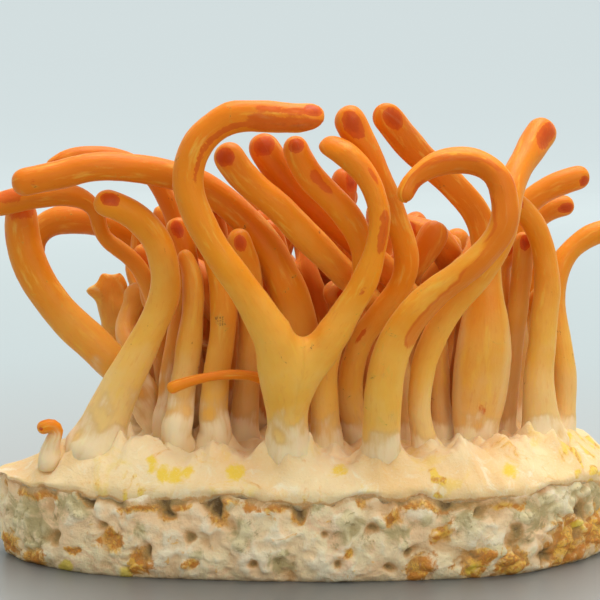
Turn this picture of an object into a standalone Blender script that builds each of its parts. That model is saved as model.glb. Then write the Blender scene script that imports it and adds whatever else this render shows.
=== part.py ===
import math
import random

import bmesh
import bpy
import numpy as np

# driving dimensions in metres
CAKE_LENGTH = 0.110
CAKE_DEPTH = 0.067
CAKE_TOP = 0.0144
MAT_TOP = 0.0185
GAP = 0.0003
STEM_BASE = MAT_TOP + GAP
MM = 0.001
CLEARANCE = 0.65 * MM
SAMPLES = 40
GIRTH = 1.08

# stems told apart in the photo: x, y, height above the mat and radius of the centre line, in millimetres
STEMS = {
    "forked_stem": [(-2.8, -25, 0, 3.46), (-2.7, -26.5, 5.6, 3.55), (-2.8, -28, 10.4, 3.84),
        (-3.3, -29.5, 15, 4.03), (-4.3, -31, 19.3, 3.36), (-6.6, -32, 23.6, 2.69),
        (-9.2, -33, 27.7, 2.4), (-12.1, -34, 32, 2.26), (-14.9, -34, 36.3, 2.16),
        (-16.9, -34, 40.4, 2.21), (-17.9, -34, 44.3, 2.21), (-17.5, -34, 48.4, 2.21),
        (-15.6, -34, 51.8, 2.21), (-12.7, -34, 54.1, 2.26), (-9, -34, 55, 2.3), (-4.6, -34, 54.7, 2.3),
        (-0.8, -33.5, 54.5, 2.21), (3.1, -33, 54.7, 2.21)],
    "fork_limb": [(-2.6, -28.2, 6.5, 2.3), (-1.3, -29, 12, 3.2), (0.9, -29.4, 16.2, 3.1),
        (3, -29.6, 19.2, 2.8), (4.9, -29.8, 21.6, 2.4), (6.4, -30, 24.2, 2.11),
        (9, -30.5, 28.4, 1.92), (10.8, -31, 33.4, 1.73), (11.6, -31, 38.1, 1.58),
        (11.2, -31, 41.6, 1.63), (9.7, -30.5, 45.3, 1.78), (7.4, -30, 48.3, 1.87),
        (4.9, -29, 50.4, 1.82), (2.6, -28.5, 51.8, 1.78)],
    "s_bend_stem": [(9.4, -14, 0, 2.11), (8.1, -15, 5.5, 1.92), (7.5, -16, 9.4, 2.02),
        (8, -17, 14, 1.92), (9.3, -18, 18.6, 1.82), (12.3, -19, 22.6, 1.82), (15.3, -20, 26.6, 1.82),
        (16.6, -21, 30.8, 1.92), (15.9, -22, 34.5, 1.92), (14.5, -23, 38.1, 1.82),
        (13.2, -24, 41.9, 1.82), (11.4, -25, 45.9, 1.82), (9.2, -26, 49.9, 2.02),
        (7.1, -27, 53.1, 2.3), (5.5, -27.5, 55.8, 2.3)],
    "curled_stem": [(12.4, -25.5, 0, 2.78), (12.2, -27, 4.8, 2.78), (12.3, -28.5, 9.7, 2.78),
        (12.9, -29.5, 15.2, 2.78), (14.2, -30, 19.6, 2.69), (16.6, -31, 23.8, 2.5),
        (20.2, -32, 27.5, 2.3), (24.2, -33, 30.8, 2.11), (27.5, -33, 33.6, 2.02),
        (30, -33, 36.8, 1.97), (30.9, -33, 40.1, 1.92), (30.6, -32.5, 43, 1.92),
        (29.5, -32, 45.7, 1.92), (27.3, -31, 47.4, 1.97), (24, -31, 48, 2.02), (20.6, -31, 47.5, 1.92),
        (18, -31.5, 46.1, 1.73), (16.2, -32, 44.2, 1.54), (15.2, -33, 41.7, 1.39)],
    "reaching_stem": [(20.2, -20, 0, 1.82), (19.2, -20, 4, 1.73), (18.7, -20.5, 8.9, 1.82),
        (19.3, -21, 14.2, 1.87), (20.7, -22, 18.8, 1.92), (23, -23, 23.4, 2.02), (26, -24, 27.4, 2.02),
        (28.9, -25, 31.1, 2.02), (31.2, -25, 35.1, 1.92), (32.3, -24, 39.5, 1.92),
        (33.3, -21, 43.5, 1.92), (35.4, -17, 47.2, 2.11), (37.9, -13, 50.3, 2.4),
        (40.4, -10, 53.3, 2.4)],
    "paddle_stem": [(28.3, -15, 0, 2.88), (28.8, -15, 6, 4.03), (29.4, -15, 12.1, 4.51),
        (29.9, -15, 17.8, 4.13), (30, -14, 23.5, 3.17), (30.2, -13, 28.8, 2.5),
        (30.1, -12, 33.5, 2.21), (28.9, -11, 38.1, 2.11), (26.4, -11, 41.6, 2.11),
        (22.7, -13, 44.9, 2.16), (18.8, -16, 48.1, 2.21), (15.7, -19, 51.5, 2.21),
        (13.6, -22, 53.9, 2.21), (11.8, -24, 55.9, 2.16)],
    "right_inner_stem": [(26, 0, 0, 2.3), (27.3, -1, 8.1, 2.21), (28.4, -2, 16.8, 2.21),
        (28.3, -3, 23.5, 2.21), (26.5, -4, 28.6, 2.3), (23.5, -5, 31.9, 2.4), (19.9, -6, 33.9, 2.4),
        (16.1, -7, 35, 2.3)],
    "right_arch_stem": [(40.2, -14, 0, 3.9), (39.7, -14, 3.6, 3.1), (39.3, -14, 7.8, 2.6),
        (39.2, -13.5, 11, 2.4),
        (39.6, -13, 16.5, 2.3), (40.2, -12.5, 21.5, 2.15), (40.6, -12, 26, 2.05),
        (40.3, -12, 30, 1.95), (39.4, -12, 33.8, 1.85), (37.8, -12.5, 37.2, 1.8),
        (35.6, -13, 39.8, 1.75), (33.2, -14, 41.2, 1.6)],
    "right_sweep_stem": [(43.5, -8, 0, 2.11), (44.6, -7, 5.7, 2.02), (44.3, -6, 12.3, 2.02),
        (43.3, -5, 18.4, 1.92), (42.9, -4, 24, 1.82), (43.8, -3, 28.5, 1.73), (46.1, -2, 31.8, 1.68),
        (50.1, -1, 34.3, 1.73), (55, 0, 35.5, 1.73)],
    "right_upper_stem": [(36.7, 2, 0, 2.11), (37.6, 3, 6.5, 1.92), (38.1, 4, 15.1, 1.92),
        (37.4, 4, 23.9, 1.92), (36.9, 4, 30.9, 1.92), (37.4, 4, 36.2, 1.97), (39.6, 4, 39.6, 1.98),
        (43.2, 4, 42.0, 2.0), (47, 4, 43.5, 2.05), (50, 4, 44.2, 2.0)],
    "right_lower_stem": [(42, 13, 0, 1.92), (43, 14, 5.6, 1.73), (42.7, 14, 13.7, 1.73),
        (41.2, 14, 22.8, 1.73), (40.6, 14, 29.7, 1.78), (41.4, 14, 34.8, 1.82), (44.6, 14, 37.6, 1.85),
        (49, 14, 38.6, 1.8)],
    "upright_stem_a": [(34.2, -8, 0, 1.73), (34.9, -8, 6.7, 1.54), (35.6, -8, 15.1, 1.54),
        (36.4, -7, 23.5, 1.63), (36.9, -7, 29.9, 1.73), (36.9, -7, 35.1, 1.68)],
    "upright_stem_b": [(33.5, -2.5, 0, 1.92), (34.3, -3, 9.2, 1.82), (34.7, -3, 17.8, 1.82),
        (34, -3, 24.7, 1.82), (32.9, -3, 29.5, 1.82), (33.3, -3, 34, 1.73)],
    "left_leaning_stem": [(-34.4, -20, 0, 5.0), (-33.6, -20, 2.4, 4.1), (-32.5, -20, 5.6, 3.45),
        (-30, -20, 10.8, 2.98),
        (-27.3, -20, 16.1, 2.59), (-24.7, -20, 21, 2.35), (-22.9, -20, 25.3, 2.3),
        (-22.1, -20, 29.5, 2.21), (-23.1, -20.3, 34.0, 2.15), (-26.4, -21, 37.9, 2.1),
        (-30.1, -22, 40.9, 2.15), (-33.6, -23, 42.9, 2.1)],
    "long_stem": [(-0.8, -10, 0, 2.69), (-0.3, -11, 7.2, 2.69), (-0.3, -12, 13.2, 2.88),
        (-0.8, -13, 19.2, 2.98), (-2.5, -13.5, 25, 2.98), (-5, -14, 30.6, 2.78),
        (-8.1, -14.5, 35.5, 2.59), (-11.7, -15.5, 39.6, 2.3), (-15.8, -17, 42.9, 2.21),
        (-20.3, -19, 44.9, 2.16), (-24.9, -21, 45.9, 2.16), (-30.4, -23, 46.0, 2.16),
        (-35.8, -24, 45.5, 2.11), (-40.8, -25, 44.8, 2.11), (-46.3, -26, 44.1, 2.2)],
    "wave_stem": [(-23, -4.5, 0, 1.92), (-23.9, -5, 9.6, 1.63), (-25, -6, 18.2, 1.54),
        (-26.2, -7, 24.8, 1.44), (-28.2, -8, 29.3, 1.39), (-30.9, -9, 32.1, 1.34),
        (-33.3, -10, 33.9, 1.25), (-34.4, -11, 36.3, 1.25), (-34.9, -12, 39.2, 1.34),
        (-37.3, -13, 41.4, 1.68), (-41.2, -14.5, 42.3, 1.82), (-45.4, -16, 41.7, 1.87),
        (-49.5, -17, 40.6, 1.82), (-51.9, -17.5, 40, 1.78)],
    "bow_stem": [(-22.9, -10.5, 0, 2.7), (-25.6, -10, 5.7, 2.75), (-28.6, -10, 9.4, 2.8),
        (-32.3, -10, 13.1, 2.85), (-37, -10, 17.6, 2.85), (-41.6, -10.5, 22.4, 2.8),
        (-45.0, -11, 27.6, 2.75), (-47.0, -11, 32.9, 2.7), (-47.4, -11, 37.6, 2.6),
        (-47.6, -11, 41.1, 2.4)],
    "rear_arch_stem": [(-20.5, 8, 0, 2.21), (-21.5, 8, 9.2, 2.02), (-22.6, 8, 18.1, 1.9),
        (-24.4, 8, 25.3, 1.9), (-26.7, 8, 30.2, 2.1), (-30.4, 8, 33.6, 2.35), (-35.1, 8, 35.5, 2.5),
        (-40, 8, 36.2, 2.5), (-44.5, 8, 35.9, 2.4), (-47.3, 8, 34.0, 2.1), (-48.4, 8, 31.2, 1.9),
        (-47.9, 8, 28.6, 1.7)],
    "fan_stem": [(-28, 14, 0, 3.0), (-29.4, 14.8, 5, 3.4), (-31.8, 15.5, 10, 3.9), (-33.6, 16, 15, 4.3),
        (-34.5, 16, 19, 4.2), (-35, 16, 22.5, 3.2)],
    "thin_stem": [(-5.3, -20, 0, 0.96), (-4.5, -21, 6.6, 0.86), (-5.5, -22, 10.8, 0.82),
        (-8, -23, 12.9, 0.77), (-12.7, -24, 13.4, 0.77), (-17.9, -25, 12.6, 0.82),
        (-22.1, -26, 11.3, 1.01)],
    "curled_sprout": [(-41.6, -21, 0, 1.5), (-41.3, -21.2, 1.6, 1.25), (-40.6, -21.4, 3.4, 1.1),
        (-40.4, -21.8, 5.0, 1.0), (-41.4, -22.2, 6.0, 0.95), (-43.4, -22.6, 5.4, 1.0)],
    "slender_arch_stem": [(-17.2, -3, 0, 1.82), (-18.9, -3, 14.4, 1.63), (-20.2, -4, 24.8, 1.54),
        (-21.3, -5, 33.4, 1.54), (-23.2, -7, 40.4, 1.49), (-26, -9, 45.2, 1.44),
        (-30.5, -11, 47.6, 1.44), (-35.3, -13, 48.3, 1.44), (-39.3, -14, 47.4, 1.44),
        (-42.3, -15, 45.3, 1.44)],
    "nub_stem": [(-20.6, -18, 0, 2.3), (-20, -17.5, 9, 2.05), (-19.3, -17, 17, 1.95),
        (-18.4, -17, 24, 1.75), (-18.9, -17.6, 29, 1.4), (-20.9, -18.5, 32.6, 1.25)],
    "cross_stem_a": [(16.6, -13, 0, 1.73), (16.4, -13, 5.9, 1.44), (16.2, -13, 11.7, 1.44),
        (15, -13.5, 17.6, 1.54), (12.4, -14.5, 22.7, 1.82), (8.4, -16, 27.3, 2.02),
        (4.1, -18, 32.2, 2.16), (-0.3, -20, 36.8, 2.21), (-4.3, -22, 40.6, 2.21),
        (-7.9, -23.5, 43.5, 2.26), (-10.9, -25, 46.6, 2.3), (-13.1, -26, 50.2, 2.21)],
    "cross_stem_b": [(23.9, -11, 0, 2.02), (22.7, -11, 7.2, 1.73), (22.5, -11, 13.9, 1.68),
        (21.2, -11.5, 19.8, 1.73), (17.9, -12.5, 24.6, 1.82), (13.7, -13.5, 28.9, 2.02),
        (9.4, -15, 32.8, 2.11), (5.7, -16, 35.6, 2.21), (2.1, -17, 38.6, 2.3),
        (-1.2, -18, 41.9, 2.35), (-4.1, -19, 45.3, 2.4), (-6.3, -20, 48.9, 2.45),
        (-7.8, -20.5, 51.7, 2.3)],
    "cross_stem_c": [(3.6, -19.5, 0, 2.21), (3.4, -20, 6.9, 2.16), (3.2, -20.5, 12.5, 1.92),
        (4.5, -21, 17.9, 1.73), (6.9, -21.5, 22.8, 1.73), (9, -22, 27.1, 1.78),
        (9.8, -22.5, 31.4, 1.87), (8.8, -23, 35.6, 2.02), (6, -24, 39.9, 2.11), (2.9, -24.5, 43, 2.11),
        (0.3, -25, 45.9, 2.06), (-1.3, -26, 49.1, 1.92), (-1.9, -27, 51.5, 1.82)],
    "short_stem": [(-10.4, -13, 0, 2.3), (-9.9, -13.5, 7.7, 2.1), (-9.2, -14.5, 15.3, 2.0),
        (-8.7, -16, 22.9, 1.9), (-9.1, -18, 29, 1.85), (-10.1, -20, 33.3, 1.85),
        (-11.1, -21.5, 36.4, 1.8)],
    "inner_stem_a": [(-22.4, -13.5, 0, 2.3), (-22.6, -13.5, 6.3, 2.1), (-22, -13.5, 12, 2.0),
        (-20.9, -13.5, 18.5, 1.9), (-19.9, -13.5, 24.6, 1.9), (-19.6, -13.5, 30, 1.9),
        (-20.4, -13, 34.1, 1.9), (-21.8, -13, 37.9, 1.85)],
    "inner_stem_b": [(-15.9, -19, 0, 2.5), (-15.7, -19, 6.2, 2.2), (-15, -19, 11.1, 2.1),
        (-14, -19, 15.6, 2.05), (-13.4, -18.5, 20.8, 2.0), (-13.6, -18, 26.4, 1.95),
        (-14.6, -17.5, 31.6, 1.9), (-15.5, -17, 35.7, 1.8)],
    "inner_stem_c": [(-14.9, -9.5, 0, 2.3), (-14.3, -10, 6.9, 2.1), (-13.6, -10.5, 15.3, 2.0),
        (-13.3, -10.5, 22.8, 1.95), (-13.9, -10.5, 30.2, 1.95), (-15.2, -11, 36.4, 1.95),
        (-16, -11.5, 40.6, 1.85)],
    "fan_lobe_left": [(-34.4, 16, 16, 2.4), (-36.8, 15.6, 20.3, 2.2), (-39.2, 15.2, 22.6, 1.8),
        (-41, 15, 23.6, 1.5)],
    "fan_lobe_middle": [(-34.8, 16, 17, 2.6), (-36.4, 16, 22.4, 2.3), (-37.5, 16, 27.2, 1.5)],
    "fan_lobe_right": [(-33.8, 16, 17, 2.6), (-33.6, 16.4, 22.8, 2.3), (-33.8, 16.6, 27.6, 1.5)],
}

# branches that grow out of a stem above, and how far up they stay merged with it
BRANCHES = {"fork_limb": ("forked_stem", 30), "fan_lobe_left": ("fan_stem", 60),
            "fan_lobe_middle": ("fan_stem", 60), "fan_lobe_right": ("fan_stem", 60)}
FLATTENED = {"paddle_stem": 0.6, "fan_stem": 0.6, "fan_lobe_left": 0.6, "fan_lobe_middle": 0.6,
             "fan_lobe_right": 0.6}
FULL_STEMS = ("forked_stem", "fork_limb", "s_bend_stem", "curled_stem", "reaching_stem", "paddle_stem",
              "right_arch_stem", "left_leaning_stem", "long_stem", "bow_stem")

# roots of the tufts behind, in millimetres, where the photo shows only a crowd of stems
TUFT_ROOTS = [(-8, -3), (1, -2), (9, -5), (17, -4),
              (-12, 4), (-4, 7.5), (5, 5), (13, 4), (21, 7), (30, 8), (38.5, 8),
              (-19.5, 14), (-13, 11), (-6, 14), (1, 13.5), (10, 13), (18, 15), (26, 15), (34, 16),
              (-24, 21.5), (-16.5, 20.5), (-8, 22), (1, 22), (10, 21), (19, 23), (28, 22), (36, 20),
              (-28, 3), (-17.5, 0.5)]

# tufts whose stems pass so close to others that they need more knots
CLOSE_TUFTS = ("07", "12", "17", "25")

# mounds of mycelium between the stem feet: x, y, radius and height in millimetres
MOUNDS = [(-40, -12, 3.6, 3.0), (-26.3, -24.5, 3.4, 5.2), (-14.6, -25, 3.0, 3.6), (25, -25.5, 3.4, 4.4),
          (34, -20, 3.6, 4.4), (-2.5, 28.5, 2.0, 2.6)]


def smooth_step(value, low, high):
    t = min(1, max(0, (value - low) / (high - low)))
    return t * t * (3 - 2 * t)


def sunk(x):
    """How far the mat's top lies lower towards the left end."""
    return 2.6 * MM * smooth_step(-x / MM, 30, 50)


def tuft_stems(root, rng):
    """Two or three stems from about the same foot, leaning out of the crowd."""
    x, y = root
    stems = []
    side = rng.uniform(-math.pi, math.pi)
    shares = (1.0, rng.uniform(0.6, 0.85), rng.uniform(0.75, 0.95))
    for share in shares if x < -10 or 3 < x < 25 and y < 14 else shares[:2]:
        height = share * (rng.uniform(41, 48) - 0.012 * x * x - 0.1 * max(0, y))
        lean_x = 0.20 * x + rng.uniform(-4, 4)
        lean_y = 0.18 * y + rng.uniform(-1, 4)
        foot_x, foot_y = x, y
        if share < 1:
            lean_x += 4 * math.cos(side)
            lean_y += 4 * math.sin(side)
            foot_x += 2.5 * math.cos(side)
            foot_y += 2.5 * math.sin(side)
            side += 2.2
        hook = rng.choice([0, 3, 6, 9])
        turn = math.atan2(lean_y, lean_x) + rng.uniform(-1.2, 1.2)
        radius = rng.uniform(1.6, 2.15)
        sway_x, sway_y = rng.uniform(-2.2, 2.2), rng.uniform(-2.2, 2.2)
        points = []
        for t in (0, 0.12, 0.3, 0.5, 0.7, 0.85, 1.0):
            bend = math.sin(math.pi * 1.7 * t)
            over = hook * (max(0, t - 0.55) / 0.45) ** 1.6
            px = foot_x + lean_x * t ** 1.8 + sway_x * bend + over * math.cos(turn)
            py = foot_y + lean_y * t ** 1.8 + sway_y * bend + over * math.sin(turn)
            pz = height * (t - 0.013 * hook * (max(0, t - 0.6) / 0.4) ** 2)
            px -= 0.85 * (max(0, px - 40) + min(0, px + 27))
            points.append((px, py, pz, radius * (1.2 - 0.9 * t + 0.85 * t * t)))
        stems.append(points)
    return stems


def smooth_path(points):
    """Even samples of a smooth curve through the points, in metres, upright where it leaves the mat."""
    p = np.array(points, float) * MM
    p[:, 3] *= GIRTH
    p[:, 2] += STEM_BASE - sunk(p[0, 0] + p[0, 3])
    p = np.vstack([2 * p[0] - p[1], p, 2 * p[-1] - p[-2]])
    fine = []
    for a, b, c, d in zip(p, p[1:], p[2:], p[3:]):
        for t in np.linspace(0, 1, 12, endpoint=False):
            fine.append(b + 0.5 * ((c - a) * t + (2 * a - 5 * b + 4 * c - d) * t ** 2
                                   + (3 * b - a - 3 * c + d) * t ** 3))
    fine.append(p[-2])
    fine = np.array(fine)
    for _ in range(20):
        fine[1:-1] = 0.25 * fine[:-2] + 0.5 * fine[1:-1] + 0.25 * fine[2:]
    steps = np.linalg.norm(np.diff(fine[:, :3], axis=0), axis=1)
    run = np.concatenate([[0], np.cumsum(steps)])
    at = np.linspace(0, run[-1], SAMPLES)
    return np.stack([np.interp(at, run, fine[:, i]) for i in range(4)], axis=1)


def push_apart(paths, owners, merged):
    """Moves crossing stems apart, mostly in depth, so that no two touch."""
    names = list(paths)
    place = np.vstack([paths[n][:, :3] for n in names])
    thick = np.concatenate([paths[n][:, 3] * (0.5 + 0.5 * FLATTENED.get(n, 1)) for n in names])
    owner = np.repeat([owners[n] for n in names], SAMPLES)
    merge = np.repeat([STEM_BASE + merged[n] * MM for n in names], SAMPLES)
    hold = np.ones(SAMPLES)
    hold[:5] = (0.25, 0.3, 0.45, 0.65, 0.85)
    hold = np.tile(hold, len(names))[:, None]
    for turn in range(60):
        if turn % 12 == 0:
            gaps = (place ** 2).sum(axis=1)
            gaps = np.sqrt(np.maximum(0, gaps[:, None] + gaps[None, :] - 2 * place @ place.T))
            gaps -= thick[:, None] + thick[None, :]
            i, j = np.nonzero(gaps < 3 * MM)
            apart = owner[i] != owner[j]
            high = (place[i, 2] > np.maximum(merge[i], merge[j])) & (i // SAMPLES != j // SAMPLES)
            i, j = i[apart | high], j[apart | high]
        away = place[i] - place[j]
        reach = np.linalg.norm(away, axis=1) + 1e-9
        short = np.maximum(0, thick[i] + thick[j] + CLEARANCE - reach)
        if short.max() < 0.01 * MM:
            break
        away = away * (0.35, 1.0, 0.35)
        away /= np.linalg.norm(away, axis=1, keepdims=True) + 1e-12
        push = np.stack([np.bincount(i, away[:, k] * short ** 2, len(place)) for k in range(3)], axis=1)
        most = np.zeros(len(place))
        np.maximum.at(most, i, short)
        push *= (0.5 * most / (np.linalg.norm(push, axis=1) + 1e-15))[:, None]
        push = push.reshape(len(names), SAMPLES, 3)
        soft = push.copy()
        for _ in range(14):
            ends = 0.5 * (soft[:, 0] + soft[:, 1]), 0.5 * (soft[:, -1] + soft[:, -2])
            soft[:, 1:-1] = 0.25 * soft[:, :-2] + 0.5 * soft[:, 1:-1] + 0.25 * soft[:, 2:]
            soft[:, 0], soft[:, -1] = ends
        move = 0.2 * push + 2.2 * soft
        move[:, 0, 2] = 0
        place += move.reshape(-1, 3) * hold
    print("stems pushed apart in", turn, "turns, largest shortfall", round(short.max() * 1000, 3), "mm")
    return {n: np.hstack([place[k * SAMPLES:(k + 1) * SAMPLES], paths[n][:, 3:]]) for k, n in enumerate(names)}


def stem_paths():
    """Every stem path, and for each node the stems that are fused into it."""
    rng = random.Random(23)
    points = dict(STEMS)
    nodes = {n: [n] for n in STEMS if n not in BRANCHES}
    merged = {n: 0 for n in STEMS}
    for n, (parent, height) in BRANCHES.items():
        nodes[parent].append(n)
        merged[n] = height
    for k, root in enumerate(TUFT_ROOTS):
        node = f"rear_tuft_{k + 1:02d}"
        stems = tuft_stems(root, rng)
        nodes[node] = [f"{node}_{letter}" for letter in "abc"[:len(stems)]]
        for n, stem in zip(nodes[node], stems):
            points[n] = stem
            merged[n] = 7
    owners = {n: k for k, group in enumerate(nodes.values()) for n in group}
    order = [n for group in nodes.values() for n in group]
    paths = {n: smooth_path(points[n]) for n in order}
    return push_apart(paths, owners, merged), nodes


def knots(path, step, turn_step):
    """Fewer points along a path, closer together where it bends."""
    steps = np.diff(path[:, :3], axis=0)
    length = np.linalg.norm(steps, axis=1)
    heading = steps / length[:, None]
    bend = np.arccos(np.clip((heading[1:] * heading[:-1]).sum(axis=1), -1, 1))
    bend = np.concatenate([[0], bend])
    run = np.concatenate([[0], np.cumsum(length / step + bend / turn_step)])
    at = np.linspace(0, run[-1], max(4, round(run[-1])) + 1)
    coarse = np.stack([np.interp(at, run, path[:, i]) for i in range(4)], axis=1)
    tip = coarse[-1]
    back = heading[-1] * tip[3]
    collar = np.append(tip[:3] - 0.55 * back, 0.94 * tip[3])
    return np.vstack([coarse[:-1], collar, np.append(tip[:3], 0.55 * tip[3])])


def tube(name, path, full):
    """A closed round tube along the path, with its foot trimmed level just above the mat."""
    if full:
        points = knots(path, 10 * MM, 0.85)
    elif "tuft" in name and name[10:12] not in CLOSE_TUFTS:
        points = knots(path, 18 * MM, 1.5)
    else:
        points = knots(path, 12 * MM, 1.1)
    curve = bpy.data.curves.new(name, "CURVE")
    curve.dimensions = "3D"
    curve.bevel_depth = MM
    curve.bevel_resolution = 2 if full else 1
    curve.use_fill_caps = True
    line = curve.splines.new("POLY")
    line.points.add(len(points) - 1)
    for knot, (x, y, z, radius) in zip(line.points, points):
        knot.co = (x, y, z, 1)
        knot.radius = radius / MM
    carrier = bpy.data.objects.new(name, curve)
    parts.objects.link(carrier)
    bpy.context.view_layer.update()
    mesh = bpy.data.meshes.new_from_object(carrier.evaluated_get(bpy.context.evaluated_depsgraph_get()))
    bpy.data.objects.remove(carrier)
    bm = bmesh.new()
    bm.from_mesh(mesh)
    bmesh.ops.remove_doubles(bm, verts=bm.verts, dist=1e-7)
    foot = path[0, 2]
    for v in bm.verts:
        if v.co.z < foot + 0.6 * MM and foot < STEM_BASE + MM:
            v.co.z = foot
    bm.to_mesh(mesh)
    bm.free()
    mesh.name = name
    stem = bpy.data.objects.new(name, mesh)
    parts.objects.link(stem)
    return stem


def volume_of(mesh):
    """The volume of a mesh that is one closed body, else 0."""
    bm = bmesh.new()
    bm.from_mesh(mesh)
    closed = all(len(e.link_faces) == 2 for e in bm.edges)
    volume = bm.calc_volume(signed=True) if closed else 0
    reached, waiting = set(), list(bm.verts)[:1]
    while waiting:
        v = waiting.pop()
        if v not in reached:
            reached.add(v)
            waiting.extend(e.other_vert(v) for e in v.link_edges)
    whole = len(reached) == len(bm.verts)
    bm.free()
    return volume if whole else 0


def tidied(mesh, crease):
    """The mesh without stray short edges, and with facets merged that meet at less than the crease."""
    bm = bmesh.new()
    bm.from_mesh(mesh)
    bmesh.ops.remove_doubles(bm, verts=bm.verts, dist=2e-6)
    bmesh.ops.dissolve_limit(bm, angle_limit=crease, verts=bm.verts, edges=bm.edges)
    bmesh.ops.triangulate(bm, faces=bm.faces)
    bm.to_mesh(mesh)
    bm.free()
    return mesh


def fuse(main, others, crease):
    """Joins other solids into the main one, a hair aside where the Boolean fails at first."""
    for other in others:
        least = 1.0005 * max(volume_of(main.data), volume_of(other.data))
        union = main.modifiers.new("union", "BOOLEAN")
        union.operation = "UNION"
        union.solver = "EXACT"
        union.object = other
        for attempt in range(12):
            aside = 0.035 * MM * attempt
            other.location = (aside * math.cos(attempt), aside * math.sin(attempt), 0)
            bpy.context.view_layer.update()
            graph = bpy.context.evaluated_depsgraph_get()
            mesh = tidied(bpy.data.meshes.new_from_object(main.evaluated_get(graph)), crease)
            if volume_of(mesh) > least:
                break
        else:
            print("no sound union of", main.name, "and", other.name)
        main.modifiers.clear()
        mesh.name = main.name
        main.data = mesh
    for other in others:
        bpy.data.objects.remove(other)


def flatten(obj, path, share):
    """Presses a stem flat in depth, about its centre line."""
    for v in obj.data.vertices:
        near = path[np.argmin(np.linalg.norm(path[:, :3] - np.array(v.co), axis=1))]
        v.co.y = near[1] + (v.co.y - near[1]) * share


def edge_at(angle, inset):
    """A point on the block's rounded and slightly wavy outline."""
    c, s = math.cos(angle), math.sin(angle)
    wave = 1 + 0.010 * math.sin(5 * angle + 1.0) + 0.006 * math.sin(11 * angle)
    x = (0.5 * CAKE_LENGTH - inset) * math.copysign(abs(c) ** 0.8, c)
    y = (0.5 * CAKE_DEPTH - inset) * math.copysign(abs(s) ** 0.8, s)
    narrow = 0.28 * smooth_step(y / MM, -14, 6) if x < 0 else 0.07 * smooth_step(y / MM, -22, 18)
    return x * wave * (1 - narrow) * 0.995, y * wave * 0.995


def slab(name, levels, sides, sinking):
    """A closed block from stacked outlines given as height and inset, its top sinking to the left."""
    bm = bmesh.new()
    rings = []
    for z, inset in levels:
        ring = bmesh.ops.create_circle(bm, cap_ends=False, segments=sides, radius=1)["verts"]
        for k, v in enumerate(ring):
            x, y = edge_at(2 * math.pi * (k + 0.5) / sides, inset)
            drop = sunk(x) * max(0, (z - CAKE_TOP) / (MAT_TOP - CAKE_TOP)) if sinking else 0
            v.co = (x, y, z - drop)
        rings.append(ring)
    for low, high in zip(rings, rings[1:]):
        for k in range(sides):
            bm.faces.new((low[k], low[(k + 1) % sides], high[(k + 1) % sides], high[k]))
    bm.faces.new(list(reversed(rings[0])))
    bm.faces.new(rings[-1])
    bmesh.ops.recalc_face_normals(bm, faces=bm.faces)
    mesh = bpy.data.meshes.new(name)
    bm.to_mesh(mesh)
    bm.free()
    block = bpy.data.objects.new(name, mesh)
    parts.objects.link(block)
    return block


def mound(x, y, radius, height):
    """A low dome that the mat's top is joined with."""
    bm = bmesh.new()
    bmesh.ops.create_uvsphere(bm, u_segments=7, v_segments=4, radius=1)
    for v in bm.verts:
        v.co = (x * MM + v.co.x * radius * MM, y * MM + v.co.y * radius * MM,
                MAT_TOP - sunk(x * MM) - 0.4 * MM + v.co.z * (height + 0.4) * MM)
    low = MAT_TOP - sunk(x * MM) - 1.2 * MM
    for v in bm.verts:
        v.co.z = max(v.co.z, low)
    bmesh.ops.remove_doubles(bm, verts=bm.verts, dist=1e-5)
    bmesh.ops.dissolve_degenerate(bm, edges=bm.edges, dist=1e-5)
    mesh = bpy.data.meshes.new("mound")
    bm.to_mesh(mesh)
    bm.free()
    dome = bpy.data.objects.new("mound", mesh)
    parts.objects.link(dome)
    return dome


def material(name, colour, roughness):
    made = bpy.data.materials.new(name)
    made.use_nodes = True
    shader = made.node_tree.nodes["Principled BSDF"]
    shader.inputs["Base Color"].default_value = (*colour, 1)
    shader.inputs["Roughness"].default_value = roughness
    return made


def finish(obj, made):
    obj.data.materials.clear()
    obj.data.materials.append(made)
    for face in obj.data.polygons:
        face.use_smooth = True


for old in list(bpy.data.objects):
    bpy.data.objects.remove(old)
parts = bpy.data.collections.new("cordyceps_bunch")
bpy.context.scene.collection.children.link(parts)

# substrate block and the mycelium mat that grew over it
substrate = slab("substrate_cake", [(0, 1.0 * MM), (1.5 * MM, 0.3 * MM), (8 * MM, 0), (CAKE_TOP, 0.6 * MM)],
                 36, False)
finish(substrate, material("substrate", (0.62, 0.46, 0.27), 0.9))
mat = slab("mycelium_mat", [(CAKE_TOP + GAP, 0.4 * MM), (MAT_TOP - 2.4 * MM, 1.2 * MM),
                            (MAT_TOP - 1.1 * MM, 3.2 * MM), (MAT_TOP, 6.4 * MM),
                            (MAT_TOP, 11 * MM), (MAT_TOP, 23 * MM)], 36, True)
fuse(mat, [mound(*spot) for spot in MOUNDS], 0.02)
finish(mat, material("mycelium", (0.86, 0.68, 0.45), 0.85))

# every stem or tuft
all_paths, all_nodes = stem_paths()
for node_name, group in all_nodes.items():
    solids = [tube(stem_name, all_paths[stem_name], stem_name in FULL_STEMS) for stem_name in group]
    solids[0].name = node_name
    if len(solids) > 1:
        fuse(solids[0], solids[1:], 0.15)
    if node_name in FLATTENED:
        flatten(solids[0], all_paths[node_name], FLATTENED[node_name])
    shade = 0.5 + 0.5 * math.sin(3.7 * len(node_name) + group[0].count("e"))
    finish(solids[0], material(node_name + "_flesh", (0.70, 0.30 - 0.06 * shade, 0.05), 0.45))
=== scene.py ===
import math
import random

import bmesh
import bpy
import numpy as np
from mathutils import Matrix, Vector, noise


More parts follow.
